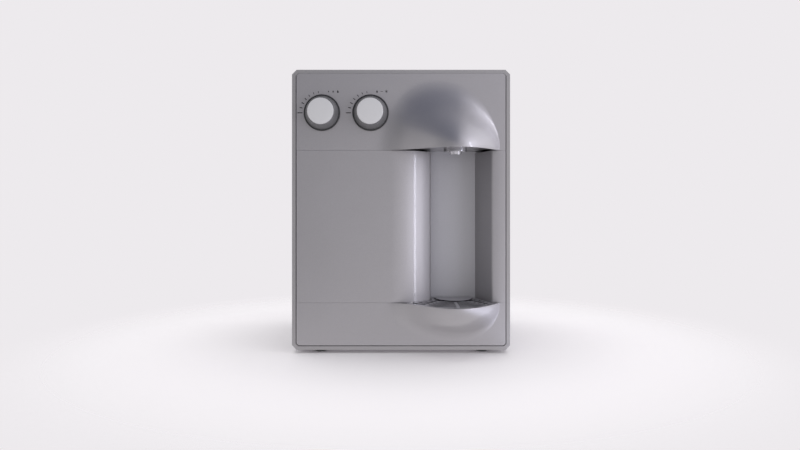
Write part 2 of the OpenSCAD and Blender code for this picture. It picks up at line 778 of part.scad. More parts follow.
// The narrow pillar to the right of the niche and the right wall behind it
module right_pillar() {
    steps = 16;
    side = moulding_wall * [cos(pillar_lean), sin(pillar_lean)];
    function edge(r) = [for (i = [0 : steps])
        let (a = 270 - (90 - pillar_lean) * i / steps)
        [pillar_x, pillar_edge_r] + r * [cos(a), sin(a)]];
    inner = edge(pillar_edge_r - moulding_wall);
    color(c_silver) in_frame() {
        translate([0, 0, niche_z0]) linear_extrude(niche_z1 - niche_z0) polygon(concat(
            [[panel_hw, return_depth], [panel_hw, 0]],
            edge(pillar_edge_r),
            [pillar_end, pillar_end + side],
            [for (i = [steps : -1 : 0]) inner[i]],
            [[panel_hw - return_wall, moulding_wall], [panel_hw - return_wall, return_depth]]));
        for (z = niche_hook_z) translate([panel_hw, 0, z]) snap_hook();
    }
}

// The plate at the back of the niche, which stands between the deck and the soffit
module niche_back() {
    z1 = soffit_z;
    x0 = nose_x - back_overlap;
    x1 = pillar_end[0] + back_overlap;
    color(c_silver) in_frame() {
        block([x0, back_y, deck_z], [x1, back_y + back_plate_t, z1]);
        intersection() {
            translate([back_middle, back_y - bulge_rise + back_bulge_r, deck_z])
                cylinder(r = back_bulge_r, h = z1 - deck_z, $fn = 180);
            block([back_middle - bulge_hw, back_y - bulge_rise - 1, deck_z],
                  [back_middle + bulge_hw, back_y + eps, z1]);
        }
    }
}

// Outline in x and depth of a shelf that follows the inner face of a bulge
module shelf_outline(rise, form) {
    front = [for (x = columns_between(form, shelf_x0, spout_x + hood_right_w))
        [x, moulding_wall + shelf_gap - bulge(x, rise, form)]];
    steps = 8;
    back = [for (i = [0 : steps])
        let (x = nose_x - shelf_side + (shelf_x0 - nose_x + shelf_side) * i / steps)
        [x, min(shelf_back, left_wall_y(x) + shelf_lap)]];
    polygon(concat(front, [[shelf_x1, moulding_wall + shelf_gap], [shelf_x1, shelf_back],
                           [nose_x - shelf_side, shelf_back]], back));
}

// The ceiling of the niche under the hood
module hood_soffit() color(c_silver) in_frame() difference() {
    translate([0, 0, soffit_z]) linear_extrude(soffit_t) shelf_outline(soffit_recess + soffit_t, hood_form);
    translate([spout_x, spout_y, soffit_z - 1]) cylinder(r = spout_neck_r + seat_gap, h = soffit_t + 2);
}

/* Drip tray */

// The floor of the niche, with the hole that the drip basin hangs in
module tray_deck() color(c_silver) in_frame() difference() {
    translate([0, 0, deck_z - deck_t]) linear_extrude(deck_t)
        shelf_outline(tray_lip_z - deck_z + deck_t, tray_form);
    translate([0, 0, deck_z - deck_t - 1]) linear_extrude(deck_t + 2) basin_outline(-0.4);
}

// Outline of the drip grille drawn in by inset: it follows the lip of the tray, the left wall,
// the back plate and the right wall, clear of each
module grille_outline(inset = 0) {
    gap = lift_gap + inset;
    x0 = grille_x0 + 1.6 * inset;
    x1 = spout_x + hood_right_w - 5 - 1.6 * inset;
    side = pillar_start[0] - gap;
    steps = 12;
    front = [for (x = columns_between(tray_form, x0, x1)) [x, lip_inside(x, gap - 0.4)]];
    right = [[x1, min(-gap, lip_inside(x1, gap - 0.4) + 1)], [side, -gap], [side, pillar_start[1]]];
    back_x0 = right_wall_x(back_y) - 1.1 * gap;
    back_x1 = nose_x + gap;
    back = [for (i = [0 : steps])
        let (x = back_x0 + (back_x1 - back_x0) * i / steps) [x, back_plate_y(x, gap)]];
    nose = [for (i = [0 : 6]) nose_centre[0] + (wall_nose_r + gap) * sin(90 + (wall_turn - 90) * i / 6)];
    wall = [for (i = [1 : steps]) nose[6] + (x0 + 0.5 - nose[6]) * i / steps];
    left = [for (x = concat(nose, wall)) [x, left_wall_y(x, gap)]];
    polygon(concat(front, right, back, left));
}

// Outline of the well of the drip basin, drawn in by inset
module basin_outline(inset = 0) {
    steps = 16;
    x0 = spout_x - well_left + inset;
    x1 = spout_x + well_right - inset;
    front = [for (i = [0 : steps])
        let (x = x0 + (x1 - x0) * i / steps)
        [x, moulding_wall + well_front_gap + inset - bulge(x, basin_floor_drop + 2, tray_form)]];
    back = back_y - bulge_rise - well_back_gap - inset;
    polygon(concat(front, [[x1, back - well_cut], [x1 - well_cut, back],
                           [x0 + well_cut_left, back], [x0, back - well_cut]]));
}

module drip_basin() color(c_graphite) in_frame() difference() {
    union() {
        translate([0, 0, deck_z]) linear_extrude(basin_rim_t) grille_outline();
        translate([0, 0, deck_z - basin_depth]) linear_extrude(basin_depth + eps) basin_outline();
    }
    translate([0, 0, deck_z - basin_depth + basin_wall]) linear_extrude(2 * basin_depth)
        basin_outline(basin_wall);
}

// The grille: curved slots round the back of the niche, cut by spokes
module drip_grille() color(c_graphite) in_frame()
    translate([0, 0, deck_z + basin_rim_t]) linear_extrude(grille_t) difference() {
        grille_outline();
        intersection() {
            grille_outline(grille_margin);
            difference() {
                for (i = [0 : grille_rings - 1]) translate(grille_centre) difference() {
                    circle(r = grille_r0 + i * slot_pitch + slot_w, $fn = 90);
                    circle(r = grille_r0 + i * slot_pitch, $fn = 90);
                }
                for (a = [-60 : 30 : 60]) translate(grille_centre) rotate(a - 90)
                    translate([0, -spoke_w / 2]) square([2 * casing_w, spoke_w]);
            }
        }
    }

/* Spout */

spout_y = -5;
spout_neck_r = 9;
spout_neck_h = 12;
spout_port_x = 8;
spout_port_top = soffit_z + soffit_t + spout_neck_h + 8;
spigot_r = 6;

module spout_body() color(c_silver) in_frame() translate([spout_x, spout_y, 0]) difference() {
    union() {
        translate([0, 0, soffit_z - spout_h]) cylinder(r = spout_r, h = spout_h);
        translate([0, 0, soffit_z - eps]) cylinder(r = spout_neck_r, h = soffit_t + nut_h + eps + 1);
        translate([0, 0, soffit_z + soffit_t + nut_h + 1])
            cylinder(r = spout_port_x + port_r + 1, h = spout_neck_h - nut_h - 1);
        for (s = [-1, 1]) translate([s * spout_port_x, 0, soffit_z + soffit_t + spout_neck_h - eps])
            cylinder(r = port_r, h = 8 + eps);
    }
    translate([0, 0, soffit_z - spout_h - 1]) cylinder(r = spigot_r + seat_gap, h = spout_h);
    translate([0, 0, soffit_z - spout_h]) cylinder(r = nozzle_r / 2, h = spout_h + soffit_t + spout_neck_h - 4);
    for (s = [-1, 1]) translate([s * spout_port_x, 0, spout_port_top - push_in - 1])
        cylinder(r = tube_r + push_gap, h = push_in + 2);
}

module spout_nut() color(c_brass) in_frame() translate([spout_x, spout_y, soffit_z + soffit_t])
    difference() {
        cylinder(r = spout_neck_r + 4.5, h = nut_h, $fn = 6);
        translate([0, 0, -1]) cylinder(r = spout_neck_r + seat_gap, h = nut_h + 2);
    }

module spout_nozzle() color(c_silver) in_frame()
    translate([spout_x, spout_y, soffit_z - spout_h]) difference() {
        union() {
            translate([0, 0, -nozzle_h]) cylinder(r1 = nozzle_r - 1, r2 = nozzle_r, h = nozzle_h);
            cylinder(r = spigot_r, h = spout_h - 2);
        }
        translate([0, 0, -nozzle_h - 1]) cylinder(r = nozzle_r / 2, h = nozzle_h + spout_h + 2);
    }

/* Knobs and valves. The local z axis points out of the front. */

module on_dial(x) in_frame() translate([x, 0, dial_z]) rotate([90, 0, 0]) children();

// A hollow knob: a flat foot ring, a tapering skirt, a front plate with a seat for the cap, and a hub
module knob(x) color(c_graphite) on_dial(x) {
    seat_z = knob_h - cap_seat;
    plate_z = seat_z - knob_wall;
    hub_z = plate_z - hub_h;
    seat_r = knob_top_r - knob_wall / 2;
    foot_z = panel_clear + knob_foot_h;
    rotate_extrude($fn = 96) polygon([
        [knob_skirt_r - knob_wall, panel_clear], [knob_r, panel_clear], [knob_r, foot_z],
        [knob_skirt_r, foot_z],
        [knob_top_r + 0.5, knob_h - 0.6], [knob_top_r, knob_h], [seat_r, knob_h], [seat_r, seat_z],
        [0, seat_z], [0, plate_z - 0.5], [stem_r + stem_gap, plate_z - 0.5], [stem_r + stem_gap, hub_z],
        [hub_r, hub_z], [hub_r, plate_z], [knob_top_r - knob_wall, plate_z]]);
}

// The flat disc that covers the front of a knob
module knob_cap(x) color(c_cap) on_dial(x) {
    r = knob_top_r - knob_wall / 2 - seat_gap;
    z0 = knob_h - cap_seat;
    rotate_extrude($fn = 96) polygon([
        [0, z0], [r, z0], [r, z0 + cap_t - 0.8], [r - 0.8, z0 + cap_t], [0, z0 + cap_t + 0.3]]);
}

module stem(x) color(c_brass) on_dial(x) {
    top = knob_h - cap_seat - knob_wall - 0.7;
    translate([0, 0, -moulding_wall - stem_inside])
        cylinder(r = stem_r, h = moulding_wall + stem_inside + top);
}

// A valve: body, threaded neck, an inlet at the back, a port below and, on the selector, one beside
module valve(x, side_port) color(c_white) on_dial(x) difference() {
    union() {
        translate([0, 0, -valve_back]) cylinder(r = valve_r, h = valve_l);
        translate([0, 0, -moulding_wall - eps]) cylinder(r = neck_r, h = moulding_wall + neck_out + eps);
        translate([0, 0, -valve_back - port_l]) cylinder(r = port_r, h = port_l + 1);
        translate([0, 0, -port_depth]) rotate([90, 0, 0]) cylinder(r = port_r, h = valve_r + port_l);
        if (side_port)
            translate([0, 0, -port_depth]) rotate([0, 90, 0]) cylinder(r = port_r, h = valve_r + port_l);
    }
    translate([0, 0, -moulding_wall - stem_inside - 1])
        cylinder(r = stem_r + stem_gap, h = moulding_wall + stem_inside + neck_out + 2);
    translate([0, 0, -moulding_wall - seal_depth])
        cylinder(r = stem_r + 2 * seal_r + 0.15, h = 2 * seal_r + 0.4);
    translate([0, 0, -valve_back - port_l - 1]) {
        cylinder(r = tube_r + push_gap, h = push_in + 2);
        cylinder(r = bore_r, h = port_l + valve_l - stem_inside);
    }
    translate([0, 0, -port_depth]) rotate([90, 0, 0]) {
        cylinder(r = bore_r, h = valve_r + port_l + 1);
        translate([0, 0, valve_r + port_l - push_in - 1]) cylinder(r = tube_r + push_gap, h = push_in + 2);
    }
    if (side_port) translate([0, 0, -port_depth]) rotate([0, 90, 0]) {
        cylinder(r = bore_r, h = valve_r + port_l + 1);
        translate([0, 0, valve_r + port_l - push_in - 1]) cylinder(r = tube_r + push_gap, h = push_in + 2);
    }
}

module flow_knob() knob(flow_x);
module flow_knob_cap() knob_cap(flow_x);
module flow_stem() stem(flow_x);
module flow_valve() valve(flow_x, false);
module selector_knob() knob(selector_x);
module selector_knob_cap() knob_cap(selector_x);
module selector_stem() stem(selector_x);
module selector_valve() valve(selector_x, true);

module valve_nuts() color(c_brass) for (x = [flow_x, selector_x]) on_dial(x) difference() {
    cylinder(r = nut_r, h = nut_h, $fn = 6);
    translate([0, 0, -1]) cylinder(r = neck_r + seat_gap, h = nut_h + 2);
}

module stem_seals() color(c_black) for (x = [flow_x, selector_x]) on_dial(x)
    translate([0, 0, -moulding_wall - seal_depth + seal_r + 0.2])
        rotate_extrude() translate([stem_r + seal_r + 0.07, 0]) circle(r = seal_r, $fn = 24);

/* Filters */

// The upright plate that carries the filter heads and the thermostat
module filter_bracket() color(c_steel) in_frame() {
    block([bracket_x0, bracket_y, pan_z], [bracket_x1, bracket_y + bracket_t, head_top + 10]);
    block([bracket_x0, bracket_y, pan_z], [bracket_x1, bracket_y + bracket_foot, pan_z + bracket_t]);
}

module filter_heads() color(c_white) in_frame() for (x = filter_x) difference() {
    union() {
        translate([x, filter_depth, head_z]) cylinder(r = head_r, h = head_h);
        block([x - 10, filter_depth, head_z + 4], [x + 10, bracket_y, head_top - 4]);
        for (s = [-1, 1]) translate([x + s * head_port_x, filter_depth, head_top - eps])
            cylinder(r = port_r, h = head_port_h + eps);
    }
    translate([x, filter_depth, head_z - 1]) cylinder(r = head_neck_r + seat_gap, h = head_neck_h + 2);
    for (s = [-1, 1]) translate([x + s * head_port_x, filter_depth, 0]) {
        translate([0, 0, head_z + head_neck_h]) cylinder(r = bore_r, h = head_h + head_port_h);
        translate([0, 0, head_top + head_port_h - push_in - 1])
            cylinder(r = tube_r + push_gap, h = push_in + 2);
    }
}

// A sealed cartridge with a domed foot, a grip collar and the neck that plugs into its head
module cartridge(x) translate([x, filter_depth, 0]) rotate_extrude($fn = 72) {
    foot = 14;
    difference() {
        translate([0, cartridge_z]) square([cartridge_r, head_z - cartridge_z]);
        translate([cartridge_r - foot, cartridge_z - 1]) square([foot + 1, foot + 1]);
    }
    translate([cartridge_r - foot, cartridge_z + foot]) intersection() {
        circle(r = foot);
        translate([0, -foot]) square(foot);
    }
    translate([0, head_z - collar_h]) square([cartridge_r + collar_out, collar_h]);
    translate([0, head_z - eps]) square([head_neck_r, head_neck_h + eps]);
}

module sediment_cartridge() color(c_white) in_frame() cartridge(filter_x[0]);
module carbon_cartridge() color(c_blue) in_frame() cartridge(filter_x[1]);

/* Water inlet and tubes */

module inlet_fitting() color(c_white) in_frame() difference() {
    union() {
        rod(inlet_x, rear_z, inlet_collar_r, casing_d, casing_d + inlet_out);
        rod(inlet_x, rear_z, inlet_r, inlet_elbow_y - inlet_r + 2, casing_d + eps);
        translate([inlet_x, inlet_elbow_y, rear_z]) cylinder(r = port_r, h = inlet_elbow_top - rear_z);
    }
    rod(inlet_x, rear_z, tube_r, casing_d + inlet_out - inlet_bore, casing_d + inlet_out + 1);
    rod(inlet_x, rear_z, bore_r + 0.5, inlet_elbow_y, casing_d + inlet_out);
    translate([inlet_x, inlet_elbow_y, rear_z]) {
        cylinder(r = bore_r, h = inlet_elbow_top);
        translate([0, 0, inlet_elbow_top - rear_z - push_in - 1])
            cylinder(r = tube_r + push_gap, h = push_in + 2);
    }
}

module inlet_nut() color(c_brass) in_frame() difference() {
    translate([inlet_x, rear_in, rear_z]) rotate([90, 0, 0])
        cylinder(r = inlet_collar_r + 2, h = inlet_nut_t, $fn = 6);
    rod(inlet_x, rear_z, inlet_r + seat_gap, rear_in - inlet_nut_t - 1, casing_d);
}

// Places where the tubes end, inside their ports
in_port = push_in;
head_port_z = head_top + head_port_h - in_port;
valve_rear_y = valve_back + port_l - in_port;
valve_low_z = dial_z - valve_r - port_l + in_port;
tank_port_z = tank_port_top - in_port;
spout_port_z = spout_port_top - in_port;
tube_bend = 9;

function head_port(i, s) = [filter_x[i] + s * head_port_x, filter_depth, head_port_z];
function above(p, z) = [p[0], p[1], z];

module water_tube(pts) color(c_white) in_frame() tube(rounded(pts, tube_bend), tube_r);

module inlet_tube() {
    run_z = head_top + head_port_h + 18;
    start = [inlet_x, inlet_elbow_y, inlet_elbow_top - in_port];
    last = head_port(0, -1);
    water_tube([start, above(start, run_z), above(last, run_z), last]);
}

module filter_link_tube() {
    run_z = head_top + head_port_h + 15;
    water_tube([head_port(0, 1), above(head_port(0, 1), run_z), above(head_port(1, -1), run_z),
                head_port(1, -1)]);
}

module filtered_tube() {
    start = head_port(1, 1);
    run_z = dial_z + 24;
    run_y = bracket_y - 6;
    water_tube([start, above(start, run_z), [start[0], run_y, run_z], [flow_x, run_y, run_z],
                [flow_x, run_y, dial_z], [flow_x, valve_rear_y, dial_z]]);
}

module valve_link_tube() {
    run_z = valve_low_z - in_port - 14;
    water_tube([[flow_x, port_depth, valve_low_z], [flow_x, port_depth, run_z],
                [selector_x, port_depth, run_z], [selector_x, port_depth, valve_low_z]]);
}

module tank_feed_tube() {
    last = [block_x - tank_port_x, block_y, tank_port_z];
    water_tube([[selector_x, valve_rear_y, dial_z], [selector_x, block_y - 30, dial_z],
                above(last, dial_z), last]);
}

module cold_tube() {
    start = [block_x + tank_port_x, block_y, tank_port_z];
    last = [spout_x + spout_port_x, spout_y, spout_port_z];
    run_z = head_top + 10;
    water_tube([start, above(start, run_z), [block_right + 21.5, block_y - 30, run_z],
                [last[0], shelf_back, run_z + 30],
                above(last, run_z + 34), last]);
}

module spout_tube() {
    last = [spout_x - spout_port_x, spout_y, spout_port_z];
    water_tube([[selector_x + valve_r + port_l - in_port, port_depth, dial_z],
                [last[0] - 28, port_depth, dial_z], above(last, dial_z), last]);
}

/* Cold tank */

module cold_tank() color(c_steel) in_frame() translate([block_x, block_y, tank_z0]) difference() {
    cylinder(r = tank_r, h = tank_top - tank_z0);
    translate([0, 0, tank_wall]) cylinder(r = tank_r - tank_wall, h = tank_top);
}

module tank_lid() color(c_steel) in_frame() translate([block_x, block_y, tank_top]) difference() {
    union() {
        cylinder(r = tank_r + tank_lid_over, h = tank_lid_t);
        for (s = [-1, 1]) translate([s * tank_port_x, 0, 0]) cylinder(r = port_r, h = tank_port_top - tank_top);
    }
    for (s = [-1, 1]) translate([s * tank_port_x, 0, -1]) {
        cylinder(r = bore_r, h = tank_port_top);
        translate([0, 0, tank_port_top - tank_top - push_in]) cylinder(r = tube_r + push_gap, h = push_in + 2);
    }
}

// The evaporator: one unbroken tube that enters from the front, winds up round the tank and leaves behind
coil_rings = 20;
coil_pitch = (coil_z1 - coil_z0) / coil_turns;
coil_path = concat(
    [[coil_r, -coil_tail, coil_z0], [coil_r, -coil_tail / 2, coil_z0]],
    [for (i = [0 : coil_turns * coil_rings])
        let (a = 360 * i / coil_rings)
        [coil_r * cos(a), coil_r * sin(a), coil_z0 + coil_pitch * i / coil_rings]],
    [[coil_r, coil_tail / 2, coil_z1], [coil_r, coil_tail, coil_z1]]);
coil_gap = min([for (i = [0 : len(coil_path) - 1]) for (j = [i + coil_rings / 2 : len(coil_path) - 1])
    norm(coil_path[i] - coil_path[j])]) - 2 * coil_tube_r;

module evaporator_coil() {
    echo(least_gap_between_turns = coil_gap);
    color(c_copper) in_frame() translate([block_x, block_y, 0]) tube(coil_path, coil_tube_r, 6);
}

// A square with rounded corners, centred
module rounded_square(w, r) {
    square([w, w - 2 * r], center = true);
    square([w - 2 * r, w], center = true);
    for (x = [-1, 1]) for (y = [-1, 1]) translate([x, y] * (w / 2 - r)) circle(r = r);
}

block_corner = 14;

module insulation_shell() color(c_white) in_frame() translate([block_x, block_y, 0]) difference() {
    translate([0, 0, pan_z]) linear_extrude(shell_top - pan_z) rounded_square(block_w, block_corner);
    translate([0, 0, tank_z0]) cylinder(r = cavity_r, h = block_h);
    rod(coil_r, coil_z0, coil_tube_r + 0.5, -block_w, 0);
    rod(coil_r, coil_z1, coil_tube_r + 0.5, 0, block_w);
}

bulb_x = 30;
bulb_y = -26;
bulb_r = 2;

module insulation_lid() color(c_white) in_frame() translate([block_x, block_y, shell_top]) difference() {
    linear_extrude(block_lid) rounded_square(block_w, block_corner);
    for (s = [-1, 1]) translate([s * tank_port_x, 0, -1]) cylinder(r = port_r + 0.4, h = block_lid + 2);
    translate([bulb_x, bulb_y, block_lid / 2]) cylinder(r = bulb_r + 0.4, h = block_lid);
}

// The thermostat on the bracket and its sensing tube, which ends in the insulation lid
module thermostat() {
    x = block_x + bulb_x;
    y0 = bracket_y + bracket_t;
    z0 = block_top + 6;
    size = [40, 26, 38];
    bulb = [x, block_y + bulb_y, block_top - block_lid / 2 + 1];
    lead = [[x, y0 + size[1] - 1, z0 + 10], [x, bulb[1], z0 + 10], bulb];
    color(c_black) in_frame() {
        block([x - size[0] / 2, y0, z0], [x + size[0] / 2, y0 + size[1], z0 + size[2]]);
        tube(rounded(lead, 6), bulb_r);
    }
}

/* Cooling circuit */

module at_compressor() in_frame() translate([compressor_x, compressor_y, 0]) children();

// The sealed shell with its weld flange, its mounting plate and the two line stubs
module compressor() color(c_black) at_compressor() {
    dome = 26;
    half = shell_z + compressor_h * 0.56;
    plate = [grommet_dx + plate_margin, grommet_dy + plate_margin];
    rotate_extrude($fn = 96) {
        translate([0, shell_z]) square([compressor_r, compressor_h - dome]);
        translate([0, shell_z + compressor_h - dome - eps]) square([compressor_r - dome, dome + eps]);
        translate([compressor_r - dome, shell_z + compressor_h - dome]) intersection() {
            circle(r = dome);
            square(dome);
        }
        translate([0, half]) square([weld_r, 4]);
    }
    difference() {
        block([-plate[0], -plate[1], plate_z], [plate[0], plate[1], plate_z + plate_t]);
        for (x = [-1, 1]) for (y = [-1, 1]) translate([x * grommet_dx, y * grommet_dy, 0])
            cylinder(r = grommet_r - 2, h = 2 * plate_z);
    }
    difference() {
        union() {
            rod(0, suction_z, stub_r, -compressor_r - stub_l, -compressor_r + 12);
            rod(discharge_dx, discharge_z, stub_r, 0, compressor_r);
        }
        rod(0, suction_z, line_r + push_gap, -compressor_r - stub_l - 1, -compressor_r - 2);
        rod(discharge_dx, discharge_z, line_r + push_gap, compressor_r - push_in - 1, compressor_r + 1);
        cylinder(r = compressor_r - 6, h = top_z);
    }
}

module compressor_grommets() color([0.15, 0.15, 0.16]) in_frame() for (p = grommet_places())
    translate([p[0], p[1], pan_z]) difference() {
        union() {
            cylinder(r = grommet_r, h = plate_z - pan_z);
            cylinder(r = grommet_r - 2 - seat_gap, h = grommet_h);
        }
        translate([0, 0, -1]) cylinder(r = bolt_r + seat_gap, h = grommet_h + 2);
    }

module compressor_bolts() color(c_steel) in_frame() for (p = grommet_places()) translate([p[0], p[1], 0]) {
    head_h = 2.4;
    translate([0, 0, foot_h - head_h]) cylinder(r = 2 * bolt_r, h = head_h, $fn = 6);
    translate([0, 0, foot_h - eps]) cylinder(r = bolt_r, h = sheet + grommet_h + 8);
    translate([0, 0, pan_z + grommet_h]) cylinder(r = 2 * bolt_r, h = 4, $fn = 6);
}

module terminal_cover() color(c_black) at_compressor() difference() {
    z0 = shell_z + terminal_rise;
    block([-terminal_w / 2, -compressor_r - terminal_out, z0],
          [terminal_w / 2, terminal_rise - compressor_r, z0 + terminal_h]);
    cylinder(r = compressor_r + seat_gap, h = top_z, $fn = 96);
}

// The serpentine: straight passes, half-turn bends and two ends that turn in through the rear panel
function pass_side(i) = i % 2 == 0 ? -1 : 1;
function end_turn(z, t) = [condenser_half + end_bend_r * sin(t), condenser_y - end_bend_r * (1 - cos(t)), z];
condenser_path = concat(
    [[end_x, end_y, condenser_z0]],
    [for (t = [90 : -18 : 0]) end_turn(condenser_z0, t)],
    [for (i = [0 : condenser_passes - 2]) for (t = [-90 : 20 : 90])
        [pass_side(i) * (condenser_half + bend_r * cos(t)), condenser_y,
         condenser_z0 + (i + 0.5) * pass_pitch + bend_r * sin(t)]],
    [for (t = [0 : 18 : 90]) end_turn(condenser_z1, t)],
    [[end_x, end_y, condenser_z1]]);

module condenser_tube() color(c_black) in_frame() tube(condenser_path, condenser_tube_r, 10);

module condenser_wires() color(c_black) in_frame()
    for (s = [-1, 1]) for (i = [0 : wire_count - 1])
        translate([(i - (wire_count - 1) / 2) * wire_pitch,
                   condenser_y + s * (condenser_tube_r + wire_gap + wire_r),
                   condenser_z0 - wire_over])
            cylinder(r = wire_r, h = condenser_z1 - condenser_z0 + 2 * wire_over, $fn = 16);

function standoff_places() = [for (s = [-1, 1]) for (i = [1, condenser_passes - 2])
    [s * standoff_x, condenser_z0 + i * pass_pitch]];

// Posts that clip round the condenser tube, each with a peg through the rear panel
module condenser_standoffs() color(c_black) in_frame() difference() {
    for (p = standoff_places()) {
        rod(p[0], p[1], standoff_r, casing_d, condenser_y + condenser_tube_r / 2);
        rod(p[0], p[1], screw_r, rear_in - 4, casing_d + eps);
    }
    for (i = [1, condenser_passes - 2]) {
        z = condenser_z0 + i * pass_pitch;
        translate([-casing_w / 2, condenser_y, z]) rotate([0, 90, 0])
            cylinder(r = condenser_tube_r + seat_gap, h = casing_w);
        block([-casing_w / 2, condenser_y, z - condenser_tube_r - seat_gap],
              [casing_w / 2, condenser_y + condenser_reach, z + condenser_tube_r + seat_gap]);
    }
}

module filter_drier() color(c_copper) in_frame() translate([drier_x, drier_y, 0])
    rotate_extrude() polygon([
        [0, drier_z0], [line_r, drier_z0], [line_r, drier_z0 + 4], [drier_r, drier_z0 + 10],
        [drier_r, drier_z1 - 10], [line_r, drier_z1 - 4], [line_r, drier_z1], [0, drier_z1]]);

module copper_line(pts, r, bend) color(c_copper) in_frame() tube(rounded(pts, bend), r);

module discharge_line() {
    x = compressor_x + discharge_dx;
    y = compressor_y + compressor_r - push_in;
    run_y = casing_d - discharge_in;
    copper_line([[x, y, discharge_z], [x, run_y, discharge_z], [x, run_y, condenser_z1],
                 [end_x, run_y, condenser_z1], [end_x, end_y - seat_gap, condenser_z1]], condenser_tube_r, 6);
}

module liquid_line() {
    run_y = casing_d - liquid_in;
    coil_end = [block_x + coil_r, block_y + coil_tail + seat_gap, coil_z1];
    rise_x = block_x + block_w / 2 - liquid_side;
    in_frame_top = [[end_x, end_y - seat_gap, condenser_z0], [end_x, drier_y, condenser_z0],
                    [end_x, drier_y, drier_z1 + seat_gap]];
    copper_line(in_frame_top, condenser_tube_r, 6);
    copper_line([[drier_x, drier_y, drier_z0 - seat_gap], [drier_x, drier_y, liquid_z],
                 [rise_x, run_y, liquid_z], [rise_x, run_y, coil_z1],
                 [coil_end[0], run_y, coil_z1], coil_end], capillary_r, 3);
}

module suction_line() {
    coil_end = [block_x + coil_r, block_y - coil_tail - seat_gap, coil_z0];
    run_y = bracket_y + bracket_t + suction_off;
    x = compressor_x;
    copper_line([coil_end, [coil_end[0], run_y, coil_z0], [x - suction_bend, run_y, coil_z0],
                 [x, run_y, suction_z],
                 [x, compressor_y - compressor_r - stub_l + push_in, suction_z]], line_r, 6);
}

// A snap-in bush for the mains lead
module cord_gland() color(c_black) in_frame() difference() {
    union() {
        rod(gland_x, rear_z, gland_flange_r, casing_d, casing_d + gland_flange_t);
        rod(gland_x, rear_z, gland_r, rear_in - gland_hold, casing_d + eps);
        rod(gland_x, rear_z, gland_r + gland_barb, rear_in - gland_hold, rear_in - seat_gap);
    }
    rod(gland_x, rear_z, gland_bore_r, rear_in - gland_hold - 1, casing_d + gland_flange_t + 1);
}

left_side();
right_side();
top_cover();
base_pan();
rear_panel();
feet();
rear_screws();
upper_fascia();
middle_panel();
right_pillar();
niche_back();
hood_soffit();
lower_fascia();
tray_deck();
drip_basin();
drip_grille();
spout_body();
spout_nut();
spout_nozzle();
flow_knob();
flow_knob_cap();
flow_stem();
flow_valve();
selector_knob();
selector_knob_cap();
selector_stem();
selector_valve();
valve_nuts();
stem_seals();
filter_bracket();
filter_heads();
sediment_cartridge();
carbon_cartridge();
inlet_fitting();
inlet_nut();
inlet_tube();
filter_link_tube();
filtered_tube();
valve_link_tube();
tank_feed_tube();
cold_tube();
spout_tube();
cold_tank();
tank_lid();
evaporator_coil();
insulation_shell();
insulation_lid();
compressor();
compressor_grommets();
compressor_bolts();
terminal_cover();
condenser_tube();
condenser_wires();
condenser_standoffs();
filter_drier();
discharge_line();
liquid_line();
suction_line();
thermostat();
cord_gland();
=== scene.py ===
"""Looks of a countertop water purifier with two knobs, a hooded niche and a drip tray.

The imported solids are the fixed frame. This script adds smooth front mouldings, turned knobs,
printed dials, a raised pad on the drip grille and a drawn condenser tube, gives every surface a
procedural finish, and sets up a plain studio at the photograph's viewing angle.
"""
import json
import logging
import math
from dataclasses import dataclass
from enum import Enum
from typing import Optional, Sequence, Union

import bpy
import numpy as np
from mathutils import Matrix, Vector


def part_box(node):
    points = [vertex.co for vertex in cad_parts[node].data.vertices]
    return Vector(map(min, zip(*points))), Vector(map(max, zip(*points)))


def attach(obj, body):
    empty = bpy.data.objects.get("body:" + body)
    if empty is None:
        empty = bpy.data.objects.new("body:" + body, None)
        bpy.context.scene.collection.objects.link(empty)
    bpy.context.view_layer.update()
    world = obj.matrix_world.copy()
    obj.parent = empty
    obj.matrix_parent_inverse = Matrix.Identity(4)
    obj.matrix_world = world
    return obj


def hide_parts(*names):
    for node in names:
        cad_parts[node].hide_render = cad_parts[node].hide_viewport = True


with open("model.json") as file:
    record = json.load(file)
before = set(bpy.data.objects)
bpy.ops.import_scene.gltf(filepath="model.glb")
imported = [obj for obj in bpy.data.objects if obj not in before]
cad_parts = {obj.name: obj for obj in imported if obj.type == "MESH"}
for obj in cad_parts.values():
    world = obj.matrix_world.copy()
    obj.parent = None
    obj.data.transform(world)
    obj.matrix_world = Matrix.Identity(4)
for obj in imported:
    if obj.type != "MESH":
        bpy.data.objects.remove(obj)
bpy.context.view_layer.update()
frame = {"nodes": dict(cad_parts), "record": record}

log = logging.getLogger("purifier")

Rgb = tuple[float, float, float]
Vector3 = tuple[float, float, float]
Corner = tuple[float, float, float]
Socket = bpy.types.NodeSocket

MM = 0.001
FRONT: Vector3 = (0, -1, 0)

# Points that share a cell of this size, in metres, are merged
MERGE = 0.001 * MM
# Rounding of sharp edges: its steps, and the bend in degrees from which an edge gets one
EDGE_STEPS = 3
EDGE_BEND = 50.0
# Points on each arc of a rounded profile after its first, and the shortest cut that is rounded
ARC_STEPS = 8
LEAST_CUT = 1e-6

# Noise of the broad clouds and of the fine grain
CLOUD_NOISE = {"Detail": 3.0, "Roughness": 0.55}
GRAIN_NOISE = {"Detail": 4.0, "Roughness": 0.6}
# Values of the clouds between which the roughness runs
CLOUD_LOW, CLOUD_HIGH = 0.3, 0.7
# Share of the grain, and of the clouds, in the factor that runs the colour
HALF = 0.5
# Scale of the brushed grain, which is drawn out along x
BRUSHING: Vector3 = (0.02, 1.0, 1.0)

# Folded rim of the casing and the groove between it and the front mouldings, in millimetres
RIM = 5.2
GROOVE = 1.2
TOP_GROOVE = 0.3

# Light of the studio's lamps
COOL: Rgb = (0.865, 0.87, 1.0)
WHITE: Rgb = (1.0, 1.0, 1.0)


class Grain(Enum):
    """Fine structure of a surface."""

    FLAKE = "metal flakes under lacquer"
    MOULDED = "spark-eroded mould texture"
    BRUSHED = "straight brushing"
    FOAM = "closed foam cells"


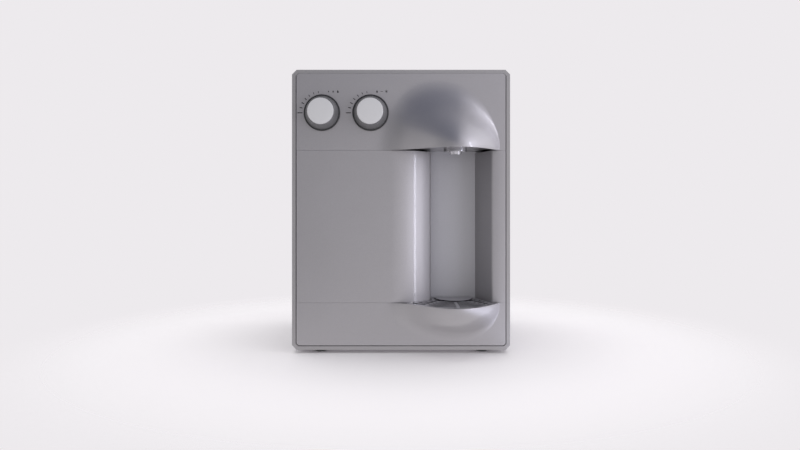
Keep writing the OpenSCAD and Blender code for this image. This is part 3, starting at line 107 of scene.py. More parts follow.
class Slot(Enum):
    """Slots that get a finish: the record's, and PLATE, GRILLE and SPOUT, the scene's variants."""

    CASING = "casing_paint"
    SILVER = "silver_plastic"
    PLATE = "silver_plate"
    GRILLE = "grille_plastic"
    SPOUT = "polished_silver"
    GRAPHITE = "graphite_plastic"
    CAP = "cap_plastic"
    RUBBER = "black_rubber"
    BLACK = "black_plastic"
    WHITE = "white_plastic"
    FOAM = "foam"
    BLUE = "blue_plastic"
    TUBE = "water_tube"
    BRASS = "brass"
    STEEL = "steel"
    BLACK_STEEL = "black_steel"
    COPPER = "copper"


class Graph:
    """The node tree of a material or of the world, with short calls to add and join nodes."""

    def __init__(self, owner: Union[bpy.types.Material, bpy.types.World]) -> None:
        """Starts an empty node tree.

        Args:
            owner: The material or world that the tree belongs to.
        """
        owner.use_nodes = True
        self.owner = owner
        self.tree = owner.node_tree
        self.tree.nodes.clear()

    def add(self, kind: str, **settings: object) -> bpy.types.Node:
        """Adds a node.

        Args:
            kind: Blender's name of the node type.
            **settings: Properties of the node, set by name.

        Returns:
            The new node.
        """
        node = self.tree.nodes.new(kind)
        for key, value in settings.items():
            setattr(node, key, value)
        return node

    def join(self, source: Socket, target: Socket) -> None:
        """Links an output to an input."""
        self.tree.links.new(source, target)

    def set(self, node: bpy.types.Node, **values: object) -> None:
        """Sets inputs of a node by name, with underscores for spaces."""
        for key, value in values.items():
            node.inputs[key.replace("_", " ")].default_value = value

    def math(self, operation: str, *terms: Union[Socket, float], clamp: bool = False) -> Socket:
        """Adds a sum or another operation on numbers.

        Args:
            operation: Blender's name of the operation.
            *terms: Its inputs, as outputs of other nodes or as numbers.
            clamp: Whether the result is kept between 0 and 1.

        Returns:
            The result.
        """
        node = self.add("ShaderNodeMath", operation=operation, use_clamp=clamp)
        for target, term in zip(node.inputs, terms):
            if isinstance(term, float):
                target.default_value = term
            else:
                self.join(term, target)
        return node.outputs[0]

    def blend(self, factor: Socket, first: Socket, second: Socket) -> Socket:
        """Mixes two shaders.

        Args:
            factor: Share of the second.
            first: The first shader.
            second: The second shader.

        Returns:
            The mixed shader.
        """
        mix = self.add("ShaderNodeMixShader")
        for target, source in zip(mix.inputs, (factor, first, second)):
            self.join(source, target)
        return mix.outputs[0]

    def show(self, shader: Socket, kind: str = "ShaderNodeOutputMaterial") -> None:
        """Makes a shader the surface of the tree's owner."""
        self.join(shader, self.add(kind).inputs["Surface"])


@dataclass(frozen=True)
class Finish:
    """A finish: a base colour with its grain, sheen and unevenness.

    Attributes:
        slot: Slot that the finish belongs to.
        colour: Base colour in linear values.
        metallic: Share of the metallic look.
        roughness: Mean roughness.
        grain: Fine structure of the surface.
        grain_size: Size of one grain in metres.
        shade: How far the colour strays from its mean, as a share.
        uneven: How far the roughness strays from its mean.
        relief: Height of the grain in metres.
        coat: Weight of the lacquer.
        coat_roughness: Roughness of the lacquer.
        cloud_size: Size of the broad clouds of unevenness in metres.
        transmission: Share of light that passes through.
        paints_wall_shade: Whether only faces that look up take the colour, and walls painted shade.
        wall_shade_colour: Painted shade of the walls and undersides where paints_wall_shade holds,
            in linear values.
    """

    slot: Slot
    colour: Rgb
    metallic: float = 0.0
    roughness: float = 0.45
    grain: Grain = Grain.MOULDED
    grain_size: float = 0.0006
    shade: float = 0.04
    uneven: float = 0.04
    relief: float = 0.00001
    coat: float = 0.0
    coat_roughness: float = 0.1
    cloud_size: float = 0.06
    transmission: float = 0.0
    # Painted shade: faces that do not look up run towards a near-black colour
    paints_wall_shade: bool = False
    wall_shade_colour: Rgb = (0.006, 0.006, 0.007)

    def material(self) -> bpy.types.Material:
        """Builds the node material of the finish.

        Fine grain and broad clouds, both read from Object coordinates, are averaged into one
        factor that runs the base colour from a darker to a lighter shade; the clouds also run the
        roughness, and the grain lifts the surface as a bump.

        Returns:
            The material.
        """
        graph = Graph(bpy.data.materials.new(self.slot.value))
        coords = graph.add("ShaderNodeTexCoord").outputs["Object"]
        grain = self._grain(graph, coords)
        noise = graph.add("ShaderNodeTexNoise")
        graph.set(noise, Scale=1 / self.cloud_size, **CLOUD_NOISE)
        graph.join(coords, noise.inputs["Vector"])
        clouds = noise.outputs["Fac"]

        tint = graph.add("ShaderNodeMix", data_type="RGBA")
        for end, stray in (("A", -2 * self.shade), ("B", 2 * self.shade)):
            tint.inputs[end].default_value = (*(c * (1 + stray) for c in self.colour), 1)
        mean = graph.math("ADD", graph.math("MULTIPLY", grain, HALF),
                          graph.math("MULTIPLY", clouds, HALF), clamp=True)
        graph.join(mean, tint.inputs["Factor"])

        sheen = graph.add("ShaderNodeMapRange")
        graph.set(sheen, From_Min=CLOUD_LOW, From_Max=CLOUD_HIGH)
        graph.set(sheen, To_Min=self.roughness - self.uneven, To_Max=self.roughness + self.uneven)
        graph.join(clouds, sheen.inputs["Value"])

        bump = graph.add("ShaderNodeBump")
        graph.set(bump, Strength=1.0, Distance=self.relief)
        graph.join(grain, bump.inputs["Height"])

        shader = graph.add("ShaderNodeBsdfPrincipled")
        graph.set(shader, Metallic=self.metallic, Coat_Weight=self.coat)
        graph.set(shader, Coat_Roughness=self.coat_roughness, Transmission_Weight=self.transmission)
        graph.join(self._paint_wall_shade(graph, tint.outputs["Result"]), shader.inputs["Base Color"])
        graph.join(sheen.outputs["Result"], shader.inputs["Roughness"])
        graph.join(bump.outputs["Normal"], shader.inputs["Normal"])
        graph.show(shader.outputs["BSDF"])
        return graph.owner

    def _paint_wall_shade(self, graph: Graph, colour: Socket) -> Socket:
        """Paints shade on the faces that do not look up, darkening them by the height of the unit
        normal.

        Args:
            graph: The material's node tree.
            colour: Colour of the faces that look up.

        Returns:
            The colour for all faces, with the painted shade.
        """
        if not self.paints_wall_shade:
            return colour
        # Painted shade: the colour runs to the dark one as a face turns from looking up to level
        # and down
        geometry = graph.add("ShaderNodeNewGeometry")
        parts = graph.add("ShaderNodeSeparateXYZ")
        mix = graph.add("ShaderNodeMix", data_type="RGBA")
        mix.inputs["A"].default_value = (*self.wall_shade_colour, 1)
        graph.join(geometry.outputs["True Normal"], parts.inputs[0])
        graph.join(parts.outputs["Z"], mix.inputs["Factor"])
        graph.join(colour, mix.inputs["B"])
        return mix.outputs["Result"]

    def _grain(self, graph: Graph, coords: Socket) -> Socket:
        """Adds the texture of the fine structure.

        Args:
            graph: The material's node tree.
            coords: Object coordinates.

        Returns:
            An output that runs from 0 to 1.
        """
        if self.grain in (Grain.FLAKE, Grain.FOAM):
            cells = graph.add("ShaderNodeTexVoronoi")
            graph.set(cells, Scale=1 / self.grain_size)
            graph.join(coords, cells.inputs["Vector"])
            if self.grain is Grain.FOAM:
                return cells.outputs["Distance"]
            parts = graph.add("ShaderNodeSeparateColor")
            graph.join(cells.outputs["Color"], parts.inputs["Color"])
            return parts.outputs["Red"]
        noise = graph.add("ShaderNodeTexNoise")
        graph.set(noise, Scale=1 / self.grain_size, **GRAIN_NOISE)
        if self.grain is Grain.BRUSHED:
            stretch = graph.add("ShaderNodeMapping")
            graph.set(stretch, Scale=BRUSHING)
            graph.join(coords, stretch.inputs["Vector"])
            coords = stretch.outputs["Vector"]
        graph.join(coords, noise.inputs["Vector"])
        return noise.outputs["Fac"]


FINISHES: tuple[Finish, ...] = (
    Finish(Slot.CASING, (0.352, 0.342, 0.349), metallic=0.65, roughness=0.42, grain=Grain.FLAKE,
           grain_size=0.00045, shade=0.05, uneven=0.03, relief=0.000002, coat=0.3,
           coat_roughness=0.18),
    Finish(Slot.SILVER, (0.412, 0.4, 0.413), metallic=0.8, roughness=0.5, grain=Grain.FLAKE,
           grain_size=0.0004, shade=0.045, uneven=0.025, relief=0.0000015, coat=0.6,
           coat_roughness=0.06),
    Finish(Slot.PLATE, (0.41, 0.405, 0.432), metallic=0.35, roughness=0.5, grain=Grain.FLAKE,
           grain_size=0.0004, shade=0.045, uneven=0.025, relief=0.0000015, coat=0.4,
           coat_roughness=0.1),
    # The grille's slot walls and its other faces that do not look up get painted shade
    Finish(Slot.GRILLE, (0.32, 0.31, 0.34), metallic=0.3, roughness=0.36, grain_size=0.0005,
           relief=0.000006, coat=0.15, paints_wall_shade=True),
    Finish(Slot.SPOUT, (0.52, 0.515, 0.54), metallic=0.85, roughness=0.24, grain=Grain.FLAKE,
           grain_size=0.0004, shade=0.03, relief=0.000001, coat=0.6, coat_roughness=0.05),
    Finish(Slot.GRAPHITE, (0.16, 0.158, 0.165), metallic=0.35, roughness=0.38, grain_size=0.0005,
           relief=0.000006, coat=0.15),
    Finish(Slot.CAP, (0.53, 0.525, 0.54), metallic=0.25, roughness=0.42, grain=Grain.BRUSHED,
           grain_size=0.0003, shade=0.02, relief=0.000002),
    Finish(Slot.RUBBER, (0.018, 0.018, 0.019), roughness=0.72, grain_size=0.0005, shade=0.12,
           relief=0.00003),
    Finish(Slot.BLACK, (0.02, 0.02, 0.022), roughness=0.4, grain_size=0.0005, shade=0.1,
           relief=0.00001),
    Finish(Slot.WHITE, (0.72, 0.72, 0.70), roughness=0.4, grain_size=0.0007, shade=0.02),
    Finish(Slot.FOAM, (0.7, 0.69, 0.65), roughness=0.85, grain=Grain.FOAM, grain_size=0.003,
           shade=0.06, relief=0.0004),
    Finish(Slot.BLUE, (0.10, 0.22, 0.5), roughness=0.35, grain_size=0.0007, shade=0.03, coat=0.1),
    Finish(Slot.TUBE, (0.75, 0.77, 0.78), roughness=0.25, grain_size=0.002, shade=0.02,
           transmission=0.4),
    Finish(Slot.BRASS, (0.62, 0.45, 0.19), metallic=1.0, roughness=0.32, grain=Grain.BRUSHED,
           grain_size=0.0004, shade=0.06),
    Finish(Slot.STEEL, (0.5, 0.5, 0.51), metallic=1.0, roughness=0.34, grain=Grain.BRUSHED,
           grain_size=0.0004, shade=0.06),
    Finish(Slot.BLACK_STEEL, (0.022, 0.022, 0.024), metallic=0.1, roughness=0.42,
           grain_size=0.0012, shade=0.12, relief=0.00002, coat=0.2),
    Finish(Slot.COPPER, (0.62, 0.3, 0.17), metallic=1.0, roughness=0.3, grain=Grain.BRUSHED,
           grain_size=0.0005, shade=0.08),
)

# Nodes with another finish than the one that the record names
OWN_FINISH: dict[str, Slot] = {
    "drip_grille": Slot.GRILLE,
    # The basin is black plastic that also stands for the painted shade under the grille, seen
    # through its slots
    "drip_basin": Slot.BLACK,
    "spout_body": Slot.SPOUT,
    "spout_nozzle": Slot.SPOUT,
}


class Paints:
    """The materials of the object, one for each slot, and what wears them."""

    def __init__(self, finishes: Sequence[Finish]) -> None:
        """Builds a material for each finish."""
        self.by_slot = {finish.slot: finish.material() for finish in finishes}

    def dress(self, piece: bpy.types.Object, slot: Slot) -> None:
        """Gives a piece the material of a slot."""
        piece.data.materials.clear()
        piece.data.materials.append(self.by_slot[slot])

    def dress_nodes(self, nodes: dict[str, bpy.types.Object], record: dict) -> None:
        """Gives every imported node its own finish, or else the one that the record names for it.

        Args:
            nodes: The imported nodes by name.
            record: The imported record.
        """
        for entry in record["subparts"]:
            slot = OWN_FINISH.get(entry["node"], Slot(entry["material_slot"]))
            self.dress(nodes[entry["node"]], slot)
            log.info("node %s: %s", entry["node"], slot.value)


@dataclass(frozen=True)
class FrontFrame:
    """Places in millimetres: x to the right, depth behind the front plane and z up.

    Attributes:
        plane_y: Place of the front plane in metres.
    """

    plane_y: float

    def points(self, x: np.ndarray, depth: np.ndarray, z: np.ndarray) -> np.ndarray:
        """Joins three arrays of millimetres, which may be broadcast, into points in metres."""
        x, depth, z = np.broadcast_arrays(x, depth, z)
        return np.stack([x * MM, self.plane_y + depth * MM, z * MM], axis=-1)

    def depth(self, y: float) -> float:
        """Depth behind the front plane, in millimetres, of a y in metres."""
        return (y - self.plane_y) / MM


class Sheet:
    """A mesh that is put together from grids of points."""

    def __init__(self, name: str) -> None:
        """Starts an empty mesh.

        Args:
            name: Name of the piece.
        """
        self.name = name
        self.points: list[np.ndarray] = []
        self.faces: list[np.ndarray] = []
        self.count = 0

    def add(self, grid: np.ndarray, facing: Optional[Vector3] = None, wrap: bool = False) -> None:
        """Adds a grid of points, with a four-sided face between each four neighbours.

        Args:
            grid: Points of shape (rows, columns, 3).
            facing: Direction that the faces look towards on the whole; None keeps their turn.
            wrap: Whether the last row joins the first.
        """
        rows, columns = grid.shape[:2]
        index = np.arange(rows * columns).reshape(rows, columns)
        if wrap:
            index = np.concatenate([index, index[:1]])
        quads = np.stack([index[:-1, :-1], index[:-1, 1:], index[1:, 1:], index[1:, :-1]], axis=-1)
        quads = quads.reshape(-1, 4)
        flat = grid.reshape(-1, 3)
        if facing is not None:
            corners = flat[quads]
            normals = np.cross(corners[:, 2] - corners[:, 0], corners[:, 3] - corners[:, 1])
            if normals.sum(axis=0) @ np.asarray(facing) < 0:
                quads = quads[:, ::-1]
        self.points.append(flat)
        self.faces.append(quads + self.count)
        self.count += len(flat)

    def build(self, smooth_angle: float = 40.0) -> bpy.types.Object:
        """Merges points that meet, turns collapsed faces into triangles and makes the object.

        Args:
            smooth_angle: Edges that bend more than this many degrees stay sharp.

        Returns:
            The object, at the origin.
        """
        points = np.concatenate(self.points)
        faces = np.concatenate(self.faces)
        cells = np.round(points / MERGE).astype(np.int64)
        _, first, inverse = np.unique(cells, axis=0, return_index=True, return_inverse=True)
        points = points[first]
        faces = inverse.reshape(-1)[faces]
        same = faces == np.roll(faces, -1, axis=1)
        pairs = same.sum(axis=1)
        whole = faces[pairs == 0]
        triangles = faces[pairs == 1][~same[pairs == 1]].reshape(-1, 3)
        mesh = bpy.data.meshes.new(self.name)
        mesh.from_pydata(points.tolist(), [], whole.tolist() + triangles.tolist())
        mesh.validate()
        mesh.shade_smooth()
        mesh.set_sharp_from_angle(angle=math.radians(smooth_angle))
        piece = bpy.data.objects.new(self.name, mesh)
        bpy.context.scene.collection.objects.link(piece)
        return piece


def thicken(piece: bpy.types.Object, wall: float, edge: float) -> None:
    """Gives a sheet its wall behind its faces and rounds its sharp edges.

    Args:
        piece: The piece, whose faces look outwards.
        wall: Thickness in millimetres.
        edge: Radius of the rounding in millimetres; 0 leaves the edges sharp.
    """
    shell = piece.modifiers.new("wall", "SOLIDIFY")
    shell.thickness = wall * MM
    shell.offset = -1
    shell.use_even_offset = True
    if edge > 0:
        rounding = piece.modifiers.new("edges", "BEVEL")
        rounding.width = edge * MM
        rounding.segments = EDGE_STEPS
        rounding.limit_method = "ANGLE"
        rounding.angle_limit = math.radians(EDGE_BEND)
        rounding.use_clamp_overlap = True
        shading = piece.modifiers.new("shading", "WEIGHTED_NORMAL")
        shading.keep_sharp = False


def rounded_profile(corners: Sequence[Corner]) -> np.ndarray:
    """Rounds the corners of a polyline with circular arcs.

    Each corner of radius r is cut back by r * tan(turn / 2) on both sides and the gap is filled by
    an arc of that radius.

    Args:
        corners: Points as (first, second, radius); a radius of 0 keeps the corner.

    Returns:
        Points of shape (count, 2).
    """
    places = np.array([corner[:2] for corner in corners], float)
    pieces = [places[:1]]
    share = np.linspace(0, 1, ARC_STEPS + 1)[:, None]
    for before, here, after, (_, _, radius) in zip(places, places[1:], places[2:], corners[1:-1]):
        back = (before - here) / np.linalg.norm(before - here)
        ahead = (after - here) / np.linalg.norm(after - here)
        half_turn = (math.pi - math.acos(float(np.clip(back @ ahead, -1, 1)))) / 2
        cut = radius * math.tan(half_turn)
        if cut < LEAST_CUT:
            pieces.append(here[None])
            continue
        inwards = (back + ahead) / np.linalg.norm(back + ahead)
        middle = here + inwards * radius / math.cos(half_turn)
        start, end = here + back * cut - middle, here + ahead * cut - middle
        sweep = 2 * half_turn
        arc = (np.sin((1 - share) * sweep) * start + np.sin(share * sweep) * end) / math.sin(sweep)
        pieces.append(middle + arc)
    pieces.append(places[-1:])
    return np.concatenate(pieces)


def middle_of(node: str) -> Vector3:
    """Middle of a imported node's box, in millimetres."""
    return tuple((low + high) / 2 / MM for low, high in zip(*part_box(node)))


@dataclass
class Assembly:
    """What each sub-assembly of the object is built with. Sizes are in millimetres.

    Attributes:
        place: Front frame of the object.
        paints: The materials.
    """

    place: FrontFrame
    paints: Paints

    def finish(self, piece: bpy.types.Object, slot: Slot, body: str,
               stands_for: Sequence[str] = (), look: Optional[Slot] = None) -> None:
        """Dresses a new piece, sets what it rides on and reports it.

        Args:
            piece: The piece.
            slot: The record's slot that it takes its finish from.
            body: The body that carries it.
            stands_for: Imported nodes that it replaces.
            look: The scene's variant of that slot, if it wears one.
        """
        self.paints.dress(piece, look or slot)
        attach(piece, body)
        if stands_for:
            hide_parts(*stands_for)
        log.info("piece %s on %s: %s", piece.name, body, (look or slot).value)


@dataclass(frozen=True)
class Bulge:
    """The swelling of a front moulding, cut in half by the moulding's edge, where its peak lies.

    With u = (x - centre) / width and v = rise / span, the skin stands out by
    reach * (1 - u² - v²)^p. The width is that of the side. The span runs from span_right to
    span_left as (1 - cos a) / 2 of the angle a from the right, and p from crisp to soft as
    v² / (u² + v²) on the right of the peak, while it is soft on the left.

    Attributes:
        centre_x: Place of the peak.
        edge_z: Height of the edge where the peak lies.
        away: 1 when the bulge fades upwards from the edge, -1 when it fades downwards.
        left_w: Width to the left of the peak.
        span_right: Height over which the bulge fades on the right.
        span_left: Height over which it would fade on the far left.
        soft: Exponent at the soft foot.
        reach: Height of the peak.
        right_w: Width to the right of the peak.
        crisp: Exponent at the right foot.
        least: Smallest u² + v² that is divided by.
    """

    centre_x: float
    edge_z: float
    away: int
    left_w: float
    span_right: float
    span_left: float
    soft: float
    reach: float = 58.0
    right_w: float = 63.0
    crisp: float = 1.15
    least: float = 1e-9

    def share(self, x: np.ndarray, z: np.ndarray) -> tuple[np.ndarray, np.ndarray]:
        """Turns places into u and v, whose squares add up to 1 at the foot of the bulge.

        Args:
            x: Places to the right.
            z: Heights.

        Returns:
            u and v.
        """
        side, rise = x - self.centre_x, (z - self.edge_z) * self.away
        turn = (1 - np.cos(np.arctan2(rise, side))) / 2
        span = self.span_right + (self.span_left - self.span_right) * turn
        return side / np.where(side > 0, self.right_w, self.left_w), rise / span

    def height(self, x: np.ndarray, z: np.ndarray) -> np.ndarray:
        """Works out how far the skin stands out in front of the flat front.

        Args:
            x: Places to the right.
            z: Heights.

        Returns:
            The heights of the skin.
        """
        u, v = self.share(x, z)
        square = u ** 2 + v ** 2
        turn = np.where(u > 0, v ** 2 / np.maximum(square, self.least), 1)
        power = self.crisp + (self.soft - self.crisp) * turn
        return self.reach * np.clip(1 - square, 0, 1) ** power


def front_normal(angle: float) -> np.ndarray:
    """Unit vector in plan, as x and depth, at an angle in degrees from the front to the right."""
    return np.array([math.sin(math.radians(angle)), -math.cos(math.radians(angle))])


def front_arc(centre: np.ndarray, radius: float, start: float, end: float,
              count: int) -> np.ndarray:
    """Points of an arc in plan: centre + radius * (sin a, -cos a).

    Args:
        centre: Its middle as x and depth.
        radius: Its radius.
        start: First angle a in degrees, from the front to the right.
        end: Last angle.
        count: Number of points.

    Returns:
        Points of shape (count, 2).
    """
    turn = np.radians(np.linspace(start, end, count))
    return centre + radius * np.stack([np.sin(turn), -np.cos(turn)], axis=-1)


@dataclass
class FrontMouldings(Assembly):
    """The silver front: the hood, the middle panel, the pillar and the tray surround.

    Attributes:
        half_width: Half the width of the mouldings.
        top: Height of their upper edge.
        bottom: Height of their lower edge.
        hood: Bulge of the upper front.
        tray: Bulge of the lower front.
        dial_x: Places of the holes for the valve necks.
        dial_z: Height of those holes.
        chamfer: Leg of the cut at the outer corners.
        wall: Wall of the mouldings.
        edge: Rounding of their edges.
        return_depth: Depth of the walls that turn back at their rim.
        hole_r: Radius of the holes.
        split_gap: Gap of the middle and the pillar to the moulding above and below.
        roll_in: From the spout's middle to where the middle panel starts to roll in.
        roll_r: Radius of that roll.
        roll_ease: Angle at which the roll goes over into the edge.
        roll_edge_r: Radius of the tight edge beside the niche.
        roll_turn: Angle at which the edge ends.
        edge_step: Step down from the edge to the niche's left wall.
        niche_wall_r: Radius of the wall's bow.
        niche_wall_start: Angle at which the bow starts.
        niche_wall_end: Angle at which it ends.
        wall_nose_r: Radius of the turn to the straight run back.
        shelf_in: From the mouldings' left edge to the flange behind the joint over the tray.
        shelf_end: Where the flange ends on the right.
        shelf_depth: Depth of its back.
        shelf_t: Its thickness.
        plate_t: Thickness of the niche plate.
        plate_crown: How far the plate bows forward.
        pillar_w: Width of the pillar.
        pillar_edge_r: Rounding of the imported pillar's edge.
        pillar_bow_r: Radius of the pillar's wide arc.
        pillar_bow: Angle of that arc.
        pillar_turn_r: Radius of the tight arc into the right wall of the niche.
        pillar_lean: Lean of that wall.
        rings: Points of a ray from a bulge's peak to its foot.
        rest_rings: Points from the foot to the rim.
        rows: Points up the sides.
        columns: Points along the far edge of a bulge.
        cell_columns: Points across the two cells with holes.
        hole_rings: Points of a ray from a hole to the edge of its cell.
        roll_points: Points on the roll.
        turn_points: Points on each tighter arc.
        wall_points: Points on the wall's bow.
        levels: Points up an upright moulding and the plate.
        shelf_grid: Points across the flange and back.
        plate_columns: Points across the plate.
    """

    half_width: float
    top: float
    bottom: float
    hood: Bulge
    tray: Bulge
    dial_x: tuple[float, float]
    dial_z: float
    chamfer: float = 2.87
    wall: float = 2.6
    edge: float = 0.25
    return_depth: float = 13.0
    hole_r: float = 8.2
    split_gap: float = 0.12
    roll_in: float = 89.6
    roll_r: float = 74.0
    roll_ease: float = 25.0
    roll_edge_r: float = 4.0
    roll_turn: float = 44.0
    edge_step: float = 0.2
    niche_wall_r: float = 124.0
    niche_wall_start: float = 32.0
    niche_wall_end: float = 45.0
    wall_nose_r: float = 10.0
    shelf_in: float = 4.0
    shelf_end: float = 12.5
    shelf_depth: float = 18.0
    shelf_t: float = 1.5
    plate_t: float = 2.4
    plate_crown: float = 1.5
    pillar_w: float = 14.8
    pillar_edge_r: float = 5.0
    pillar_bow_r: float = 80.0
    pillar_bow: float = 12.0
    pillar_turn_r: float = 3.5
    pillar_lean: float = 18.0
    rings: int = 84
    rest_rings: int = 4
    rows: int = 60
    columns: int = 96
    cell_columns: tuple[int, int] = (24, 18)
    hole_rings: int = 16
    roll_points: int = 48
    turn_points: int = 24
    wall_points: int = 40
    levels: int = 3
    shelf_grid: tuple[int, int] = (25, 5)
    plate_columns: int = 33

    def build(self) -> None:
        """Builds and dresses the four mouldings, the plate of the niche and the flange."""
        self._upper()
        self._lower()
        self._middle()
        self._pillar()
        self._plate()
        self._joint_shelf()

    def _mould(self, sheet: Sheet, wall: float, edge: float, stands_for: Sequence[str] = (),
               look: Optional[Slot] = None) -> None:
        """Makes a moulding of a sheet.

        Args:
            sheet: The mesh of its outer face.
            wall: Thickness.
            edge: Rounding of its edges.
            stands_for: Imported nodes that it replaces.
            look: The scene's variant of the silver, if it wears one.
        """
        piece = sheet.build()
        thicken(piece, wall, edge)
        self.finish(piece, Slot.SILVER, "housing", stands_for, look)

    def _cut_corners(self, x: np.ndarray, z: np.ndarray, corner_z: float,
                     away: float) -> np.ndarray:
        """Draws x in towards the middle by the distance that z passes the start of the chamfer."""
        past = np.clip((z - (corner_z - away * self.chamfer)) * away, 0, None)
        return x * (1 - past / self.half_width)

    def _skin(self, sheet: Sheet, bulge: Bulge, x: np.ndarray, z: np.ndarray, corner_z: float,
              wrap: bool = False) -> None:
        """Adds a patch of the front, given its x and z, lifted by the bulge."""
        inset = self._cut_corners(x, z, corner_z, bulge.away)
        sheet.add(self.place.points(inset, -bulge.height(x, z), z), facing=FRONT, wrap=wrap)

    def _rim(self, sheet: Sheet, across: np.ndarray, heights: np.ndarray, corner_z: float,
             away: int) -> None:
        """Adds the walls that turn straight back along the far edge and both sides.

        Args:
            sheet: The mesh.
            across: x of the rim points along the far edge.
            heights: z of the rim points at the sides.
            corner_z: Height of the far edge.
            away: 1 when the far edge is the upper one, -1 when it is the lower one.
        """
        depth = np.array([[0.0], [self.return_depth]])
        far, side = np.full_like(across, corner_z), np.full_like(heights, self.half_width)
        for x, z, facing in ((across, far, (0, 0, away)), (-side, heights, (-1, 0, 0)),
                             (side, heights, (1, 0, 0))):
            x = self._cut_corners(x, z, corner_z, away)
            sheet.add(self.place.points(x[None], depth, z[None]), facing=facing)

    def _fan(self, sheet: Sheet, bulge: Bulge, left: float, corner_z: float,
             heights: np.ndarray) -> np.ndarray:
        """Adds a bulge and the flat front round it, as straight rays from the peak to the rim.

        A ray's points close in on the foot of the bulge like a sine, and a few more follow to the
        rim.

        Args:
            sheet: The mesh.
            bulge: The bulge.
            left: Where the patch ends on the left.
            corner_z: Height of the rim's far edge.
            heights: Heights of the rim points at the sides, from the bulge's edge to the far edge.

        Returns:
            x of the rim points along the far edge, from left to right.
        """
        across = np.linspace(self.half_width, left, self.columns)
        rim_x = np.concatenate([np.full(len(heights) - 1, self.half_width), across,
                                np.full(len(heights) - 1, left)])
        rim_z = np.concatenate([heights[:-1], np.full(self.columns, corner_z), heights[-2::-1]])
        foot = 1 / np.maximum(1, np.hypot(*bulge.share(rim_x, rim_z)))[:, None]
        inner = foot * np.sin(np.linspace(0, math.pi / 2, self.rings))[None]
        outer = foot + (1 - foot) * np.linspace(0, 1, self.rest_rings + 1)[None, 1:]
        along = np.concatenate([inner, outer], axis=1)
        self._skin(sheet, bulge, bulge.centre_x + along * (rim_x - bulge.centre_x)[:, None],
                   bulge.edge_z + along * (rim_z - bulge.edge_z)[:, None], corner_z)
        return across[::-1]

    def _holed_cell(self, sheet: Sheet, hole_x: float, across: np.ndarray,
                    heights: np.ndarray) -> None:
        """Adds a rectangle of the upper front with a round hole.

        Each ray runs from the hole's rim straight to the rectangle's edge point at the same angle.

        Args:
            sheet: The mesh.
            hole_x: Place of the hole's middle.
            across: x of the edge points from left to right.
            heights: z of the edge points from below upwards.
        """
        low, high = np.full_like(across, heights[0]), np.full_like(across, heights[-1])
        left, right = np.full_like(heights, across[0]), np.full_like(heights, across[-1])
        edge_x = np.concatenate([right[:-1], across[:0:-1], left[:0:-1], across[:-1]])
        edge_z = np.concatenate([heights[:-1], high[:0:-1], heights[:0:-1], low[:-1]])
        out = np.stack([edge_x - hole_x, edge_z - self.dial_z], axis=-1)
        rim = out / np.linalg.norm(out, axis=-1, keepdims=True) * self.hole_r
        share = np.linspace(0, 1, self.hole_rings)[None, :, None]
        ray = rim[:, None] + share * (out - rim)[:, None]
        self._skin(sheet, self.hood, hole_x + ray[..., 0], self.dial_z + ray[..., 1], self.top,
                   wrap=True)

    def _rim_heights(self, start: float, corner_z: float, away: float) -> np.ndarray:
        """Heights of rim points from a moulding's edge to its far corner, one at the chamfer."""
        even = np.linspace(start, corner_z - away * self.chamfer, self.rows)
        return np.append(even, corner_z)

    def _upper(self) -> None:
        """The upper front: a cell round each valve's hole, the fan of the hood and the rim."""
        sheet = Sheet("upper_front")
        heights = self._rim_heights(self.hood.edge_z, self.top, 1)
        between = sum(self.dial_x) / 2
        left = self.dial_x[1] + 2 * self.hole_r
        outer = np.linspace(-self.half_width, between, self.cell_columns[0])
        inner = np.linspace(between, left, self.cell_columns[1])
        self._holed_cell(sheet, self.dial_x[0], outer, heights)
        self._holed_cell(sheet, self.dial_x[1], inner, heights)
        across = self._fan(sheet, self.hood, left, self.top, heights)
        across = np.concatenate([outer, inner[1:], across[1:]])
        self._rim(sheet, across, heights, self.top, 1)
        self._mould(sheet, self.wall, self.edge, ["upper_fascia"])

    def _lower(self) -> None:
        """The lower front: the fan of the bulge round the drip tray, and the rim."""
        sheet = Sheet("lower_front")
        heights = self._rim_heights(self.tray.edge_z, self.bottom, -1)
        across = self._fan(sheet, self.tray, -self.half_width, self.bottom, heights)
        self._rim(sheet, across, heights, self.bottom, -1)
        self._mould(sheet, self.wall, self.edge, ["lower_fascia"])

    def _upright(self, name: str, profile: np.ndarray, node: str) -> None:
        """Makes a moulding whose plan is carried straight up between the tray and the hood.

        Args:
            name: Name of the piece.
            profile: Plan as x and depth.
            node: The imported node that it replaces.
        """
        sheet = Sheet(name)
        heights = np.linspace(self.tray.edge_z + self.split_gap,
                              self.hood.edge_z - self.split_gap, self.levels)
        sheet.add(self.place.points(profile[:, :1], profile[:, 1:], heights[None]), facing=FRONT)
        self._mould(sheet, self.wall, self.edge, [node])

    def _middle(self) -> None:
        """The flat middle, which rolls over a tight raised edge into the left wall of the niche.

        The plan is the turned rim, a straight line, a wide arc and a tight arc, each tangent to the
        one before, then a short step down to the wall. That is a wide arc, which starts less turned
        than the edge ends, a nose arc tangent to it, and a straight run back, square to the front.
        """
        wide = np.array([self.hood.centre_x - self.roll_in, self.roll_r])
        tight = wide + (self.roll_r - self.roll_edge_r) * front_normal(self.roll_ease)
        edge_end = tight + self.roll_edge_r * front_normal(self.roll_turn)
        foot = edge_end + self.edge_step * front_normal(self.roll_turn + 90)
        wall = foot - self.niche_wall_r * front_normal(self.niche_wall_start)
        nose = wall + (self.niche_wall_r - self.wall_nose_r) * front_normal(self.niche_wall_end)
        back = self.place.depth(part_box("middle_panel")[1].y)
        profile = np.concatenate([
            [[-self.half_width, self.return_depth], [-self.half_width, 0.0]],
            front_arc(wide, self.roll_r, 0, self.roll_ease, self.roll_points),
            front_arc(tight, self.roll_edge_r, self.roll_ease, self.roll_turn,
                      self.turn_points)[1:],
            front_arc(wall, self.niche_wall_r, self.niche_wall_start, self.niche_wall_end,
                      self.wall_points),
            front_arc(nose, self.wall_nose_r, self.niche_wall_end, 90, self.turn_points)[1:],
            [[nose[0] + self.wall_nose_r, back]]])
        self._upright("middle_front", profile, "middle_panel")

